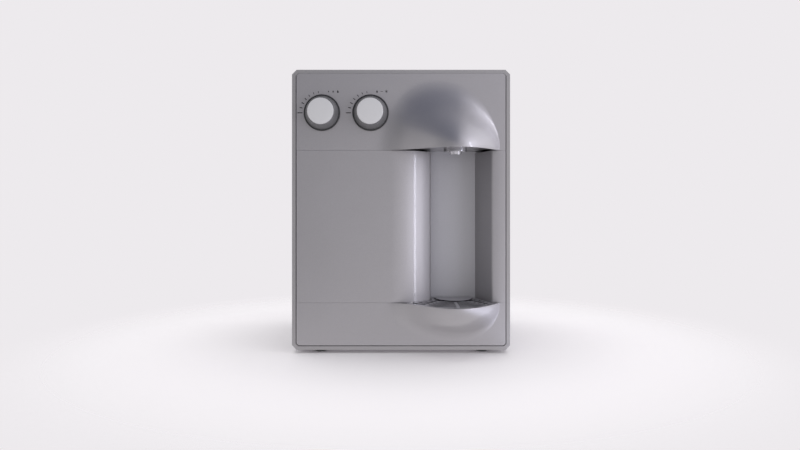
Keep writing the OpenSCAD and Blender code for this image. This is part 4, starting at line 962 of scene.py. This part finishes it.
    def _joint_shelf(self) -> None:
        """A flat level flange behind the joint over the tray, which closes it left of the niche."""
        columns, rows = self.shelf_grid
        x = np.linspace(self.shelf_in - self.half_width, self.shelf_end, columns)[:, None]
        depth = np.linspace(self.wall + self.split_gap, self.shelf_depth, rows)[None]
        z = np.array([[self.tray.edge_z - self.split_gap]])
        sheet = Sheet("joint_shelf")
        sheet.add(self.place.points(x, depth, z), facing=(0, 0, 1))
        self._mould(sheet, self.shelf_t, 0)

    def _plate(self) -> None:
        """The plate at the niche's back, bowed forward by crown * (1 - u²) across its width."""
        low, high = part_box("niche_back")
        u = np.linspace(-1, 1, self.plate_columns)[:, None]
        x = (low.x + high.x + u * (high.x - low.x)) / 2 / MM
        depth = self.place.depth(high.y) - self.plate_t - self.plate_crown * (1 - u ** 2)
        z = np.linspace(low.z, high.z, self.levels)[None] / MM
        sheet = Sheet("niche_plate")
        sheet.add(self.place.points(x, depth, z), facing=FRONT)
        self._mould(sheet, self.plate_t, self.edge, ["niche_back"], Slot.PLATE)

    def _pillar(self) -> None:
        """The narrow strip right of the niche, which bows back and rounds into the right wall.

        The plan is the turned rim, a wide arc and a tight arc, tangent to each other, and a
        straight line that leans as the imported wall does: it meets the front plane where that wall
        would, rounding left aside.
        """
        lean, bow = math.radians(self.pillar_lean), math.radians(self.pillar_bow)
        depth_end = self.place.depth(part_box("right_pillar")[1].y) - self.wall * math.sin(lean)
        rest = self.pillar_bow_r - self.pillar_turn_r
        wide = np.linspace(0, bow, self.turn_points)
        tight = np.linspace(bow, math.pi / 2 - lean, self.turn_points)[1:]
        arc = np.concatenate([
            self.pillar_bow_r * np.stack([-np.sin(wide), 1 - np.cos(wide)], axis=-1),
            self.pillar_turn_r * np.stack([-np.sin(tight), -np.cos(tight)], axis=-1)
            + [-rest * math.sin(bow), self.pillar_bow_r - rest * math.cos(bow)]])
        corner = math.cos(lean) - math.tan(lean) * (1 - math.sin(lean))
        line_x = self.half_width - self.pillar_w - self.pillar_edge_r * corner
        arc[:, 0] += line_x - (arc[-1, 0] + math.tan(lean) * arc[-1, 1])
        end = arc[-1] + (depth_end - arc[-1, 1]) * np.array([-math.tan(lean), 1.0])
        profile = np.concatenate([
            [[self.half_width, self.return_depth], [self.half_width, 0.0]], arc, end[None]])
        self._upright("right_front", profile, "right_pillar")


@dataclass
class Knobs(Assembly):
    """The two turned knobs: a dark foot ring, a tapering skirt and a light cap.

    Attributes:
        centres: Places of the knobs by name.
        dial_z: Height of both.
        foot_r: Radius of the foot ring.
        foot_h: Height of the ring's top before the front.
        foot_in: How far the ring's underside reaches in under the skirt.
        foot_lap: How far its top reaches in under the skirt.
        foot_rise: How far its top rises on the way.
        foot_edges: Rounding of its lower and its upper edge.
        skirt_r: Radius of the skirt at its foot.
        skirt_lap: How far the skirt dips into the ring, and stands straight over it.
        skirt_edges: Rounding of the skirt over its foot, at its shoulder and at the cap's well.
        top_r: Radius of the skirt's shoulder.
        height: Height of the shoulder before the front.
        seat: Height of the cap's seat.
        cap_r: Radius of the cap.
        cap_gap: Gap round the cap.
        cap_top: Height of the cap's rim.
        cap_edge: Rounding of the cap's rim.
        crown: Rise of the cap to its middle.
        crown_half: Share of the crown that is reached half way in.
        crown_r: Rounding of the cap half way in.
        panel_clear: Gap between the ring and the front.
        smooth_angle: Edges that bend more than this many degrees stay sharp.
        steps: Points round a knob.
    """

    centres: dict[str, float]
    dial_z: float
    foot_r: float = 25.5
    foot_h: float = 2.4
    foot_in: float = 2.2
    foot_lap: float = 0.6
    foot_rise: float = 0.15
    foot_edges: tuple[float, float] = (0.3, 0.6)
    skirt_r: float = 23.4
    skirt_lap: float = 0.4
    skirt_edges: tuple[float, float, float] = (0.3, 0.7, 0.2)
    top_r: float = 19.6
    height: float = 18.0
    seat: float = 16.5
    cap_r: float = 18.2
    cap_gap: float = 0.15
    cap_top: float = 20.1
    cap_edge: float = 0.9
    crown: float = 0.3
    crown_half: float = 0.75
    crown_r: float = 40.0
    panel_clear: float = 0.6
    smooth_angle: float = 30.0
    steps: int = 128

    def build(self) -> None:
        """Builds and dresses both knobs."""
        well_r = self.cap_r + self.cap_gap
        foot = [(self.skirt_r - self.foot_in, self.panel_clear, 0),
                (self.foot_r, self.panel_clear, self.foot_edges[0]),
                (self.foot_r, self.foot_h, self.foot_edges[1]),
                (self.skirt_r - self.foot_lap, self.foot_h + self.foot_rise, 0)]
        skirt = [(self.skirt_r, self.foot_h - self.skirt_lap, 0),
                 (self.skirt_r, self.foot_h + self.skirt_lap, self.skirt_edges[0]),
                 (self.top_r, self.height, self.skirt_edges[1]),
                 (well_r, self.height, self.skirt_edges[2]),
                 (well_r, self.seat, 0), (0.0, self.seat, 0)]
        cap = [(self.cap_r, self.seat, 0), (self.cap_r, self.cap_top, self.cap_edge),
               (self.cap_r / 2, self.cap_top + self.crown_half * self.crown, self.crown_r),
               (0.0, self.cap_top + self.crown, 0)]
        for name, x in self.centres.items():
            # The black foot ring is partly a real dark ring and partly painted shade where the knob
            # meets the front
            self._turned(name + "_foot_ring", x, foot, Slot.BLACK, name)
            self._turned(name + "_skirt", x, skirt, Slot.GRAPHITE, name, [name])
            self._turned(name + "_disc", x, cap, Slot.CAP, name, [name + "_cap"])

    def _turned(self, piece_name: str, x: float, corners: Sequence[Corner], slot: Slot, body: str,
                stands_for: Sequence[str] = ()) -> None:
        """Turns a rounded profile round the axis of a knob.

        A profile point of radius r and height h lies at x + r cos(t) and dial_z + r sin(t), h
        before the front, for every angle t.

        Args:
            piece_name: Name of the piece.
            x: Place of the axis.
            corners: Profile as radius, height before the front and rounding.
            slot: Slot of its finish.
            body: Body that carries it.
            stands_for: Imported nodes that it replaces.
        """
        radius, height = rounded_profile(corners).T[:, None]
        turn = np.linspace(0, 2 * math.pi, self.steps, endpoint=False)[:, None]
        sheet = Sheet(piece_name)
        sheet.add(self.place.points(x + radius * np.cos(turn), -height,
                                    self.dial_z + radius * np.sin(turn)), facing=FRONT, wrap=True)
        self.finish(sheet.build(self.smooth_angle), slot, body, stands_for)


@dataclass
class DialPrints(Assembly):
    """The printed scales left of the knobs and the small signs above them.

    Attributes:
        centres: Places of the knobs by name.
        dial_z: Height of both.
        zero_angle: Angle of the long mark from the right.
        first_angle: Angle of the first short mark.
        last_angle: Angle of the last short mark.
        short_marks: Number of short marks.
        zero_from: Where the long mark starts, from the knob's middle.
        zero_to: Where it ends.
        short_from: Where the short marks start.
        short_to: Where the first of them ends.
        fade: Share by which each short mark is finer than the one before.
        line_w: Width of the marks.
        sign_x: Place of the first sign to the right of the knob's middle.
        sign_z: Height of the signs above the knob's middle.
        sign_step: From one sign to the next.
        sign_w: Width of the lines in the signs.
        flow_drops: Sizes of the drops over the flow knob.
        cold_drop: Size of the drop over the selector knob.
        dash: Half the length of the line after it.
        star_r: Radius of the star.
        star_angles: Directions of the star's lines.
        drop_w: Half width of a drop, as a share of its size.
        drop_h: Half height of a drop, as a share of its size.
        drop_tip: Exponent that draws a drop's tip out.
        lift: Height of the print above the front.
        ink: Thickness of the print as a share of that height.
        bar_points: Points along a bar.
        drop_grid: Points along a drop and across it.
    """

    centres: dict[str, float]
    dial_z: float
    zero_angle: float = 180.0
    first_angle: float = 166.5
    last_angle: float = 100.0
    short_marks: int = 6
    zero_from: float = 27.2
    zero_to: float = 34.6
    short_from: float = 28.0
    short_to: float = 32.4
    fade: float = 0.07
    line_w: float = 1.3
    sign_x: float = 9.0
    sign_z: float = 30.0
    sign_step: float = 6.6
    sign_w: float = 0.6
    flow_drops: tuple[float, ...] = (1.7, 2.2, 2.8)
    cold_drop: float = 2.6
    dash: float = 1.8
    star_r: float = 2.4
    star_angles: tuple[float, ...] = (30, 90, 150)
    drop_w: float = 0.62
    drop_h: float = 0.75
    drop_tip: float = 1.4
    lift: float = 0.05
    ink: float = 0.8
    bar_points: int = 17
    drop_grid: tuple[int, int] = (25, 5)

    def build(self) -> None:
        """Prints both scales and their signs."""
        for name, x in self.centres.items():
            sheet = Sheet(name + "_scale")
            self._marks(sheet, x)
            if name == "flow_knob":
                self._flow_signs(sheet, x)
            else:
                self._cold_signs(sheet, x)
            piece = sheet.build()
            thicken(piece, self.lift * self.ink, 0)
            self.finish(piece, Slot.BLACK, "housing")

    def _print(self, sheet: Sheet, x: np.ndarray, z: np.ndarray) -> None:
        """Adds a flat patch just before the front, given its x and z."""
        sheet.add(self.place.points(x, np.array(-self.lift), z), facing=FRONT)

    def _bar(self, sheet: Sheet, x: float, z: float, angle: float, start: float, end: float,
             width: float) -> None:
        """Adds a flat bar with round ends that points away from a centre.

        Along the bar the half width is that of a capsule, width / 2 * sqrt(1 - e²), where e runs
        from 0 to 1 within the round ends.

        Args:
            sheet: The mesh.
            x: Place of the centre.
            z: Height of the centre.
            angle: Direction of the bar in degrees from the right.
            start: Where the bar starts, from the centre.
            end: Where it ends.
            width: Its width.
        """
        share = (1 - np.cos(np.linspace(0, math.pi, self.bar_points))) / 2
        along = (start + share * (end - start))[:, None]
        cap = width / 2
        past = np.clip(np.maximum(start + cap - along, along - end + cap), 0, cap) / cap
        side = np.array([-1.0, 0.0, 1.0])[None] * cap * np.sqrt(1 - past ** 2)
        turn = math.radians(angle)
        self._print(sheet, x + along * math.cos(turn) - side * math.sin(turn),
                    z + along * math.sin(turn) + side * math.cos(turn))

    def _marks(self, sheet: Sheet, x: float) -> None:
        """Adds the long zero mark and the short marks, which get finer towards the top.

        Args:
            sheet: The mesh.
            x: Place of the knob's middle.
        """
        self._bar(sheet, x, self.dial_z, self.zero_angle, self.zero_from, self.zero_to, self.line_w)
        angles = np.linspace(self.first_angle, self.last_angle, self.short_marks)
        for number, angle in enumerate(angles):
            fade = 1 - self.fade * number
            end = self.short_from + (self.short_to - self.short_from) * fade
            self._bar(sheet, x, self.dial_z, float(angle), self.short_from, end, self.line_w * fade)

    def _drop(self, sheet: Sheet, x: float, z: float, size: float) -> None:
        """Adds a water drop, its tip upwards.

        Its half width is drop_w * size * sin(t) * sin(t / 2)^drop_tip at a height of
        drop_h * size * cos(t), for t from 0 at the tip to pi at the foot.

        Args:
            sheet: The mesh.
            x: Place of its middle.
            z: Height of its middle.
            size: Its size.
        """
        rows, columns = self.drop_grid
        t = np.linspace(0, math.pi, rows)[:, None]
        half = self.drop_w * size * np.sin(t) * np.sin(t / 2) ** self.drop_tip
        self._print(sheet, x + half * np.linspace(-1, 1, columns)[None],
                    z + self.drop_h * size * np.cos(t))

    def _flow_signs(self, sheet: Sheet, x: float) -> None:
        """Signs of the flow knob: three drops of growing size.

        Args:
            sheet: The mesh.
            x: Place of the knob's middle.
        """
        for number, size in enumerate(self.flow_drops):
            self._drop(sheet, x + self.sign_x + number * self.sign_step,
                       self.dial_z + self.sign_z, size)

    def _cold_signs(self, sheet: Sheet, x: float) -> None:
        """Signs of the selector knob: a drop, a short line and a six-armed star for cold.

        Args:
            sheet: The mesh.
            x: Place of the knob's middle.
        """
        z = self.dial_z + self.sign_z
        self._drop(sheet, x + self.sign_x, z, self.cold_drop)
        middle = x + self.sign_x + self.sign_step
        self._bar(sheet, middle, z, 0, -self.dash, self.dash, self.sign_w)
        star = x + self.sign_x + 2 * self.sign_step
        for angle in self.star_angles:
            self._bar(sheet, star, z, angle, -self.star_r, self.star_r, self.sign_w)


@dataclass
class GrillePad(Assembly):
    """The raised half oval at the back of the drip grille, which stands before the niche plate.

    Attributes:
        half_width: Half its width along the plate.
        reach: How far it comes forward.
        height: Height over the grille.
        edge_r: Rounding of its upper edge.
        sunk: Depth of its foot in the grille.
        clear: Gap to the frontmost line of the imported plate.
        rings: Shares of the way out at which its flat top has points, apart from the edge.
        edge_points: Points on the rounding.
        oval_points: Points along the half oval.
    """

    half_width: float = 28.5
    reach: float = 39.0
    height: float = 1.8
    edge_r: float = 0.5
    sunk: float = 0.4
    clear: float = 1.0
    rings: tuple[float, ...] = (0.0, 0.5)
    edge_points: int = 6
    oval_points: int = 49

    def build(self) -> None:
        """Draws the edge's profile (share, h) out along a half oval, a point of it at the angle t.

        That is share * half_width * cos(t) along the plate, share * reach * sin(t) forward of it
        and h over the grille. The flat back joins the profile's two ends to their foot.
        """
        middle = middle_of("niche_back")[0]
        back = self.place.depth(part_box("niche_back")[0].y) - self.clear
        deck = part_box("drip_grille")[1].z / MM
        turn = np.linspace(0, np.pi / 2, self.edge_points)
        edge_out = 1 - self.edge_r / self.half_width * (1 - np.sin(turn))
        edge_h = self.height - self.edge_r * (1 - np.cos(turn))
        out = np.concatenate([self.rings, edge_out])[:, None]
        over = np.concatenate([np.full(len(self.rings), self.height), edge_h])[:, None]
        foot = np.full(over.shape, -self.sunk)
        share, rise = np.concatenate([out, out[::-1]]), np.concatenate([over, foot])
        t = np.linspace(0, np.pi, self.oval_points)[None]
        sheet = Sheet("grille_pad")
        sheet.add(self.place.points(middle + self.half_width * share * np.cos(t),
                                    back - self.reach * share * np.sin(t), deck + rise),
                  facing=FRONT)
        for side in (-1, 1):
            sheet.add(self.place.points(middle + side * self.half_width * out, np.array([[back]]),
                                        deck + np.concatenate([over, foot], axis=1)),
                      facing=(0, 1, 0))
        # Its upright walls take the grille's painted shade, which draws the dark line along its
        # front
        self.finish(sheet.build(), Slot.GRAPHITE, "drip_grille", look=Slot.GRILLE)


@dataclass
class Condenser(Assembly):
    """The serpentine of black tube behind the rear panel, drawn smooth.

    Attributes:
        tube_r: Radius of the tube.
        passes: Number of straight passes.
        end_bend_r: Radius of the bends that turn in through the rear panel.
        sides: Points round the tube.
        bend_points: Points on each half turn.
        end_points: Points on each end's bend.
        smooth_angle: Edges that bend more than this many degrees stay sharp.
    """

    tube_r: float = 2.4
    passes: int = 12
    end_bend_r: float = 11.0
    sides: int = 16
    bend_points: int = 19
    end_points: int = 13
    smooth_angle: float = 60.0

    def build(self) -> None:
        """Sweeps a circle along the passes, the half-turn bends and the two ends.

        Bend number n is a half circle of half the pitch, on the left for even n, whose middle lies
        n + 1/2 pitches over the lowest pass. Straight passes join the bends. Each end is a quarter
        circle that turns in towards the front, and a straight line.
        """
        low, high = (np.array(corner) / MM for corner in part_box("condenser_tube"))
        depth = high[1] - self.tube_r - self.place.plane_y / MM
        front = low[1] - self.place.plane_y / MM
        end_x = high[0] - self.tube_r
        z0, z1 = low[2] + self.tube_r, high[2] - self.tube_r
        pitch = (z1 - z0) / (self.passes - 1)
        half = end_x - self.end_bend_r
        bend = np.radians(np.linspace(-90, 90, self.bend_points))
        number = np.arange(self.passes - 1)[:, None]
        side = np.where(number % 2 == 0, -1, 1)
        bends_x = side * (half + pitch / 2 * np.cos(bend))
        bends_z = z0 + (number + 0.5) * pitch + pitch / 2 * np.sin(bend)
        path_x = np.concatenate([[half], bends_x.ravel(), [half]])
        path_z = np.concatenate([[z0], bends_z.ravel(), [z1]])
        path = np.stack([path_x, np.full_like(path_x, depth), path_z], axis=-1)
        sheet = Sheet("condenser_serpentine")
        self._sweep(sheet, path, np.array([0.0, 1.0, 0.0]))
        turn = np.radians(np.linspace(0, 90, self.end_points))
        end_bend_x = half + self.end_bend_r * np.sin(turn)
        end_bend_depth = depth - self.end_bend_r * (1 - np.cos(turn))
        for z in (z0, z1):
            end = np.stack([end_bend_x, end_bend_depth, np.full_like(turn, z)], axis=-1)
            end = np.concatenate([end, [[end_x, front, z]]])
            self._sweep(sheet, end, np.array([0.0, 0.0, 1.0]))
        self.finish(sheet.build(self.smooth_angle), Slot.BLACK_STEEL, "housing", ["condenser_tube"])

    def _sweep(self, sheet: Sheet, path: np.ndarray, upright: np.ndarray) -> None:
        """Carries a circle along a flat path: path + tube_r * (cos t * upright + sin t * across).

        Across is square to the path's direction and to upright.

        Args:
            sheet: The mesh.
            path: Points as x, depth and z.
            upright: Unit normal of the plane that the path lies in.
        """
        ahead = np.gradient(path, axis=0)
        ahead[0], ahead[-1] = path[1] - path[0], path[-1] - path[-2]
        ahead /= np.linalg.norm(ahead, axis=1, keepdims=True)
        across = np.cross(ahead, upright)
        turn = np.linspace(0, 2 * math.pi, self.sides, endpoint=False)[:, None, None]
        ring = path[None] + self.tube_r * (np.cos(turn) * upright + np.sin(turn) * across[None])
        sheet.add(self.place.points(ring[..., 0], ring[..., 1], ring[..., 2]), wrap=True)


@dataclass(frozen=True)
class Card:
    """A large plain card or soft lamp of the studio.

    Attributes:
        name: Name of the card.
        place: Its middle in metres.
        target: What it faces.
        size: Width and height in metres.
        strength: Light that it gives, in watts for a lamp.
        colour: Its colour.
        shown: Whether a lamp shows in reflections, as a card always does.
        spread: Whether a lamp also lights matt surfaces, as a card never does.
    """

    name: str
    place: Vector3
    target: Vector3
    size: tuple[float, float]
    strength: float
    colour: Rgb = WHITE
    shown: bool = True
    spread: bool = True

    def aim(self, thing: bpy.types.Object) -> None:
        """Puts a lamp or card in its place and turns it to face its target."""
        way = Vector(self.target) - Vector(self.place)
        thing.location, thing.rotation_euler = self.place, way.to_track_quat("-Z", "Y").to_euler()


@dataclass
class Studio:
    """A pale floor and backdrop, soft lamps and the camera. Sizes are in metres.

    Attributes:
        place: Front frame of the object.
        background: Colour of the floor and backdrop.
        ambient: Strength of the even light.
        distance: From the camera to the front plane.
        eye_z: Height of the camera.
        lens: Focal length in millimetres.
        sensor: Width of the camera's sensor in millimetres.
        shift: Camera shift that frames the object as the photograph does.
        floor_r: Radius of the floor.
        floor_fade: Shares of that radius between which the floor fades.
        floor_grid: Points round the floor and out from its middle.
        card_fade: Shares of a card's length, from its middle, between which it fades.
        lamps: The soft lamps.
        cards: The cards, which only show in reflections.
    """

    place: FrontFrame
    background: Rgb = (0.847, 0.823, 0.847)
    ambient: float = 0.95
    distance: float = 0.95
    eye_z: float = 0.204
    lens: float = 30.5
    sensor: float = 36.0
    shift: tuple[float, float] = (-0.0013, -0.0212)
    floor_r: float = 0.62
    floor_fade: tuple[float, float] = (0.5, 0.98)
    floor_grid: tuple[int, int] = (96, 24)
    card_fade: tuple[float, float] = (0.25, 0.5)
    lamps: tuple[Card, ...] = (
        Card("edge_lamp", (1.384, -0.732, 0.55), (0.0, -0.12, 0.55), (0.1, 1.6), 6.2, COOL,
             spread=False),
        Card("niche_lamp", (1.09, -1.17, 0.12), (0.07, -0.07, 0.12), (0.5, 0.24), 7.0, COOL,
             shown=False),
        Card("right_lamp", (1.27, -0.915, 0.5), (0.0, -0.12, 0.3), (1.27, 1.0), 1.8, COOL,
             spread=False),
        Card("side_lamp", (1.6, 0.25, 1.25), (0.0, -0.1, 0.3), (1.2, 1.6), 3.8, COOL,
             spread=False),
        Card("patch_lamp", (0.95, -0.45, 0.98), (0.1, -0.13, 0.33), (0.7, 0.5), 1.15, COOL,
             spread=False),
        Card("top_lamp", (0.0, 0.25, 1.7), (0.0, 0.0, 0.0), (1.6, 1.2), 9.0, shown=False),
    )
    cards: tuple[Card, ...] = (
        Card("ceiling_card", (-0.45, -1.6, 1.25), (-0.45, -1.6, 0.0), (3.0, 5.0), 1.0,
             (0.03, 0.048, 0.13)),
        Card("left_card", (-0.985, -1.38, 0.3), (0.0, -0.12, 0.3), (2.2, 2.2), 1.0,
             (0.34, 0.337, 0.345)),
        Card("floor_card", (0.28, -0.17, 0.002), (0.28, -0.17, 1.0), (0.3, 0.4), 2.0, COOL),
    )

    def build(self) -> None:
        """Builds the stage and the camera."""
        self._view()
        self._world()
        self._floor()
        for lamp in self.lamps:
            self._lamp(lamp)
        for card in self.cards:
            self._card(card)

    def _view(self) -> None:
        """Places the camera level in front of the object."""
        settings = bpy.context.scene.view_settings
        settings.view_transform = "Standard"
        data = bpy.data.cameras.new("camera")
        data.lens = self.lens
        data.sensor_width = self.sensor
        data.shift_x, data.shift_y = self.shift
        camera = bpy.data.objects.new("camera", data)
        camera.location = (0.0, self.place.plane_y - self.distance, self.eye_z)
        camera.rotation_euler = (math.pi / 2, 0.0, 0.0)
        bpy.context.scene.collection.objects.link(camera)
        bpy.context.scene.camera = camera

    def _world(self) -> None:
        """The backdrop colour for what is seen, and even light for the rest."""
        world = bpy.data.worlds.new("studio")
        bpy.context.scene.world = world
        graph = Graph(world)
        rays = graph.add("ShaderNodeLightPath").outputs
        seen = graph.math("MAXIMUM", rays["Is Camera Ray"], rays["Is Glossy Ray"])
        seen = graph.math("MAXIMUM", seen, rays["Is Transmission Ray"])
        light = graph.add("ShaderNodeBackground")
        graph.set(light, Color=(*WHITE, 1), Strength=self.ambient)
        backdrop = graph.add("ShaderNodeBackground")
        graph.set(backdrop, Color=(*self.background, 1), Strength=1.0)
        surface = graph.blend(seen, light.outputs[0], backdrop.outputs[0])
        graph.show(surface, "ShaderNodeOutputWorld")

    def _floor(self) -> None:
        """A round pale floor, a grid of radius and angle, that fades into the backdrop.

        Reflections show it in the backdrop's colour, without the object's shadow.
        """
        around, out = self.floor_grid
        turn = np.linspace(0, 2 * math.pi, around, endpoint=False)[:, None]
        radius = np.linspace(0, self.floor_r, out)[None]
        x, y = radius * np.cos(turn), radius * np.sin(turn)
        sheet = Sheet("floor")
        sheet.add(np.stack([x, y, np.zeros_like(x)], axis=-1), facing=(0, 0, 1), wrap=True)
        floor = sheet.build()
        graph = Graph(bpy.data.materials.new("floor"))
        coords = graph.add("ShaderNodeTexCoord")
        away = graph.add("ShaderNodeVectorMath", operation="LENGTH")
        graph.join(coords.outputs["Object"], away.inputs[0])
        fade = graph.add("ShaderNodeMapRange", interpolation_type="SMOOTHSTEP")
        start, end = self.floor_fade
        graph.set(fade, From_Min=start * self.floor_r, From_Max=end * self.floor_r)
        graph.join(away.outputs["Value"], fade.inputs["Value"])
        ground = graph.add("ShaderNodeBsdfDiffuse")
        pale = graph.add("ShaderNodeEmission")
        for shader in (ground, pale):
            graph.set(shader, Color=(*self.background, 1))
        rays = graph.add("ShaderNodeLightPath")
        clear = graph.add("ShaderNodeBsdfTransparent")
        seen = graph.blend(rays.outputs["Is Glossy Ray"], ground.outputs[0], pale.outputs[0])
        graph.show(graph.blend(fade.outputs["Result"], seen, clear.outputs[0]))
        floor.data.materials.append(graph.owner)

    def _lamp(self, card: Card) -> None:
        """Hangs a large soft lamp that the camera doesn't see.

        Args:
            card: Its place, size and light.
        """
        data = bpy.data.lights.new(card.name, "AREA")
        data.shape = "RECTANGLE"
        data.size, data.size_y = card.size
        data.energy = card.strength
        data.color = card.colour
        lamp = bpy.data.objects.new(card.name, data)
        lamp.visible_camera = False
        lamp.visible_glossy = card.shown
        lamp.visible_diffuse = card.spread
        bpy.context.scene.collection.objects.link(lamp)
        card.aim(lamp)

    def _card(self, card: Card) -> None:
        """Hangs a plain rectangular card with soft edges that only shows in reflections.

        Args:
            card: Its place, size and light.
        """
        width, height = card.size
        side = np.array([-0.5, 0.5])
        grid = np.broadcast_arrays(side[:, None] * width, side[None] * height, 0.0)
        sheet = Sheet(card.name)
        sheet.add(np.stack(grid, axis=-1), facing=(0, 0, -1))
        piece = sheet.build()
        graph = Graph(bpy.data.materials.new(card.name))
        coords = graph.add("ShaderNodeTexCoord")
        parts = graph.add("ShaderNodeSeparateXYZ")
        graph.join(coords.outputs["Object"], parts.inputs[0])
        start, end = self.card_fade
        shares = []
        for axis, length in zip("XY", card.size):
            share = graph.add("ShaderNodeMapRange", interpolation_type="SMOOTHSTEP")
            graph.set(share, From_Min=length * start, From_Max=length * end, To_Min=1.0, To_Max=0.0)
            graph.join(graph.math("ABSOLUTE", parts.outputs[axis]), share.inputs["Value"])
            shares.append(share.outputs["Result"])
        shader = graph.add("ShaderNodeEmission")
        graph.set(shader, Color=(*card.colour, 1), Strength=card.strength)
        clear = graph.add("ShaderNodeBsdfTransparent")
        graph.show(graph.blend(graph.math("MULTIPLY", *shares), clear.outputs[0],
                               shader.outputs[0]))
        piece.data.materials.append(graph.owner)
        piece.visible_camera = False
        piece.visible_diffuse = False
        piece.visible_shadow = False
        card.aim(piece)


def main() -> None:
    """Builds the object's looks in order: finishes, front, knobs, prints, pad, rear and studio."""
    logging.basicConfig(level=logging.INFO, format="%(name)s: %(message)s")
    paints = Paints(FINISHES)
    paints.dress_nodes(frame["nodes"], frame["record"])
    place = FrontFrame(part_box("middle_panel")[0].y)
    upper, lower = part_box("upper_fascia"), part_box("lower_fascia")
    spout_x = middle_of("spout_body")[0]
    knobs = {name: middle_of(name)[0] for name in ("flow_knob", "selector_knob")}
    dial_z = middle_of("flow_knob")[2]
    hood = Bulge(spout_x, upper[0].z / MM, 1, left_w=116.0, span_right=74.0, span_left=126.0,
                 soft=3.2)
    tray = Bulge(spout_x, lower[1].z / MM, -1, left_w=98.0, span_right=57.0, span_left=57.0,
                 soft=2.6)
    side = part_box("right_side")[1].x / MM - RIM - GROOVE
    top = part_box("top_cover")[1].z / MM - RIM - TOP_GROOVE
    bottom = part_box("base_pan")[0].z / MM + RIM + GROOVE
    log.info("front mouldings: half width %.2f, %.2f to %.2f mm high", side, bottom, top)
    FrontMouldings(place, paints, side, top, bottom, hood, tray,
                   (knobs["flow_knob"], knobs["selector_knob"]), dial_z).build()
    Knobs(place, paints, knobs, dial_z).build()
    DialPrints(place, paints, knobs, dial_z).build()
    GrillePad(place, paints).build()
    Condenser(place, paints).build()
    Studio(place).build()


if __name__ == "__main__":
    main()
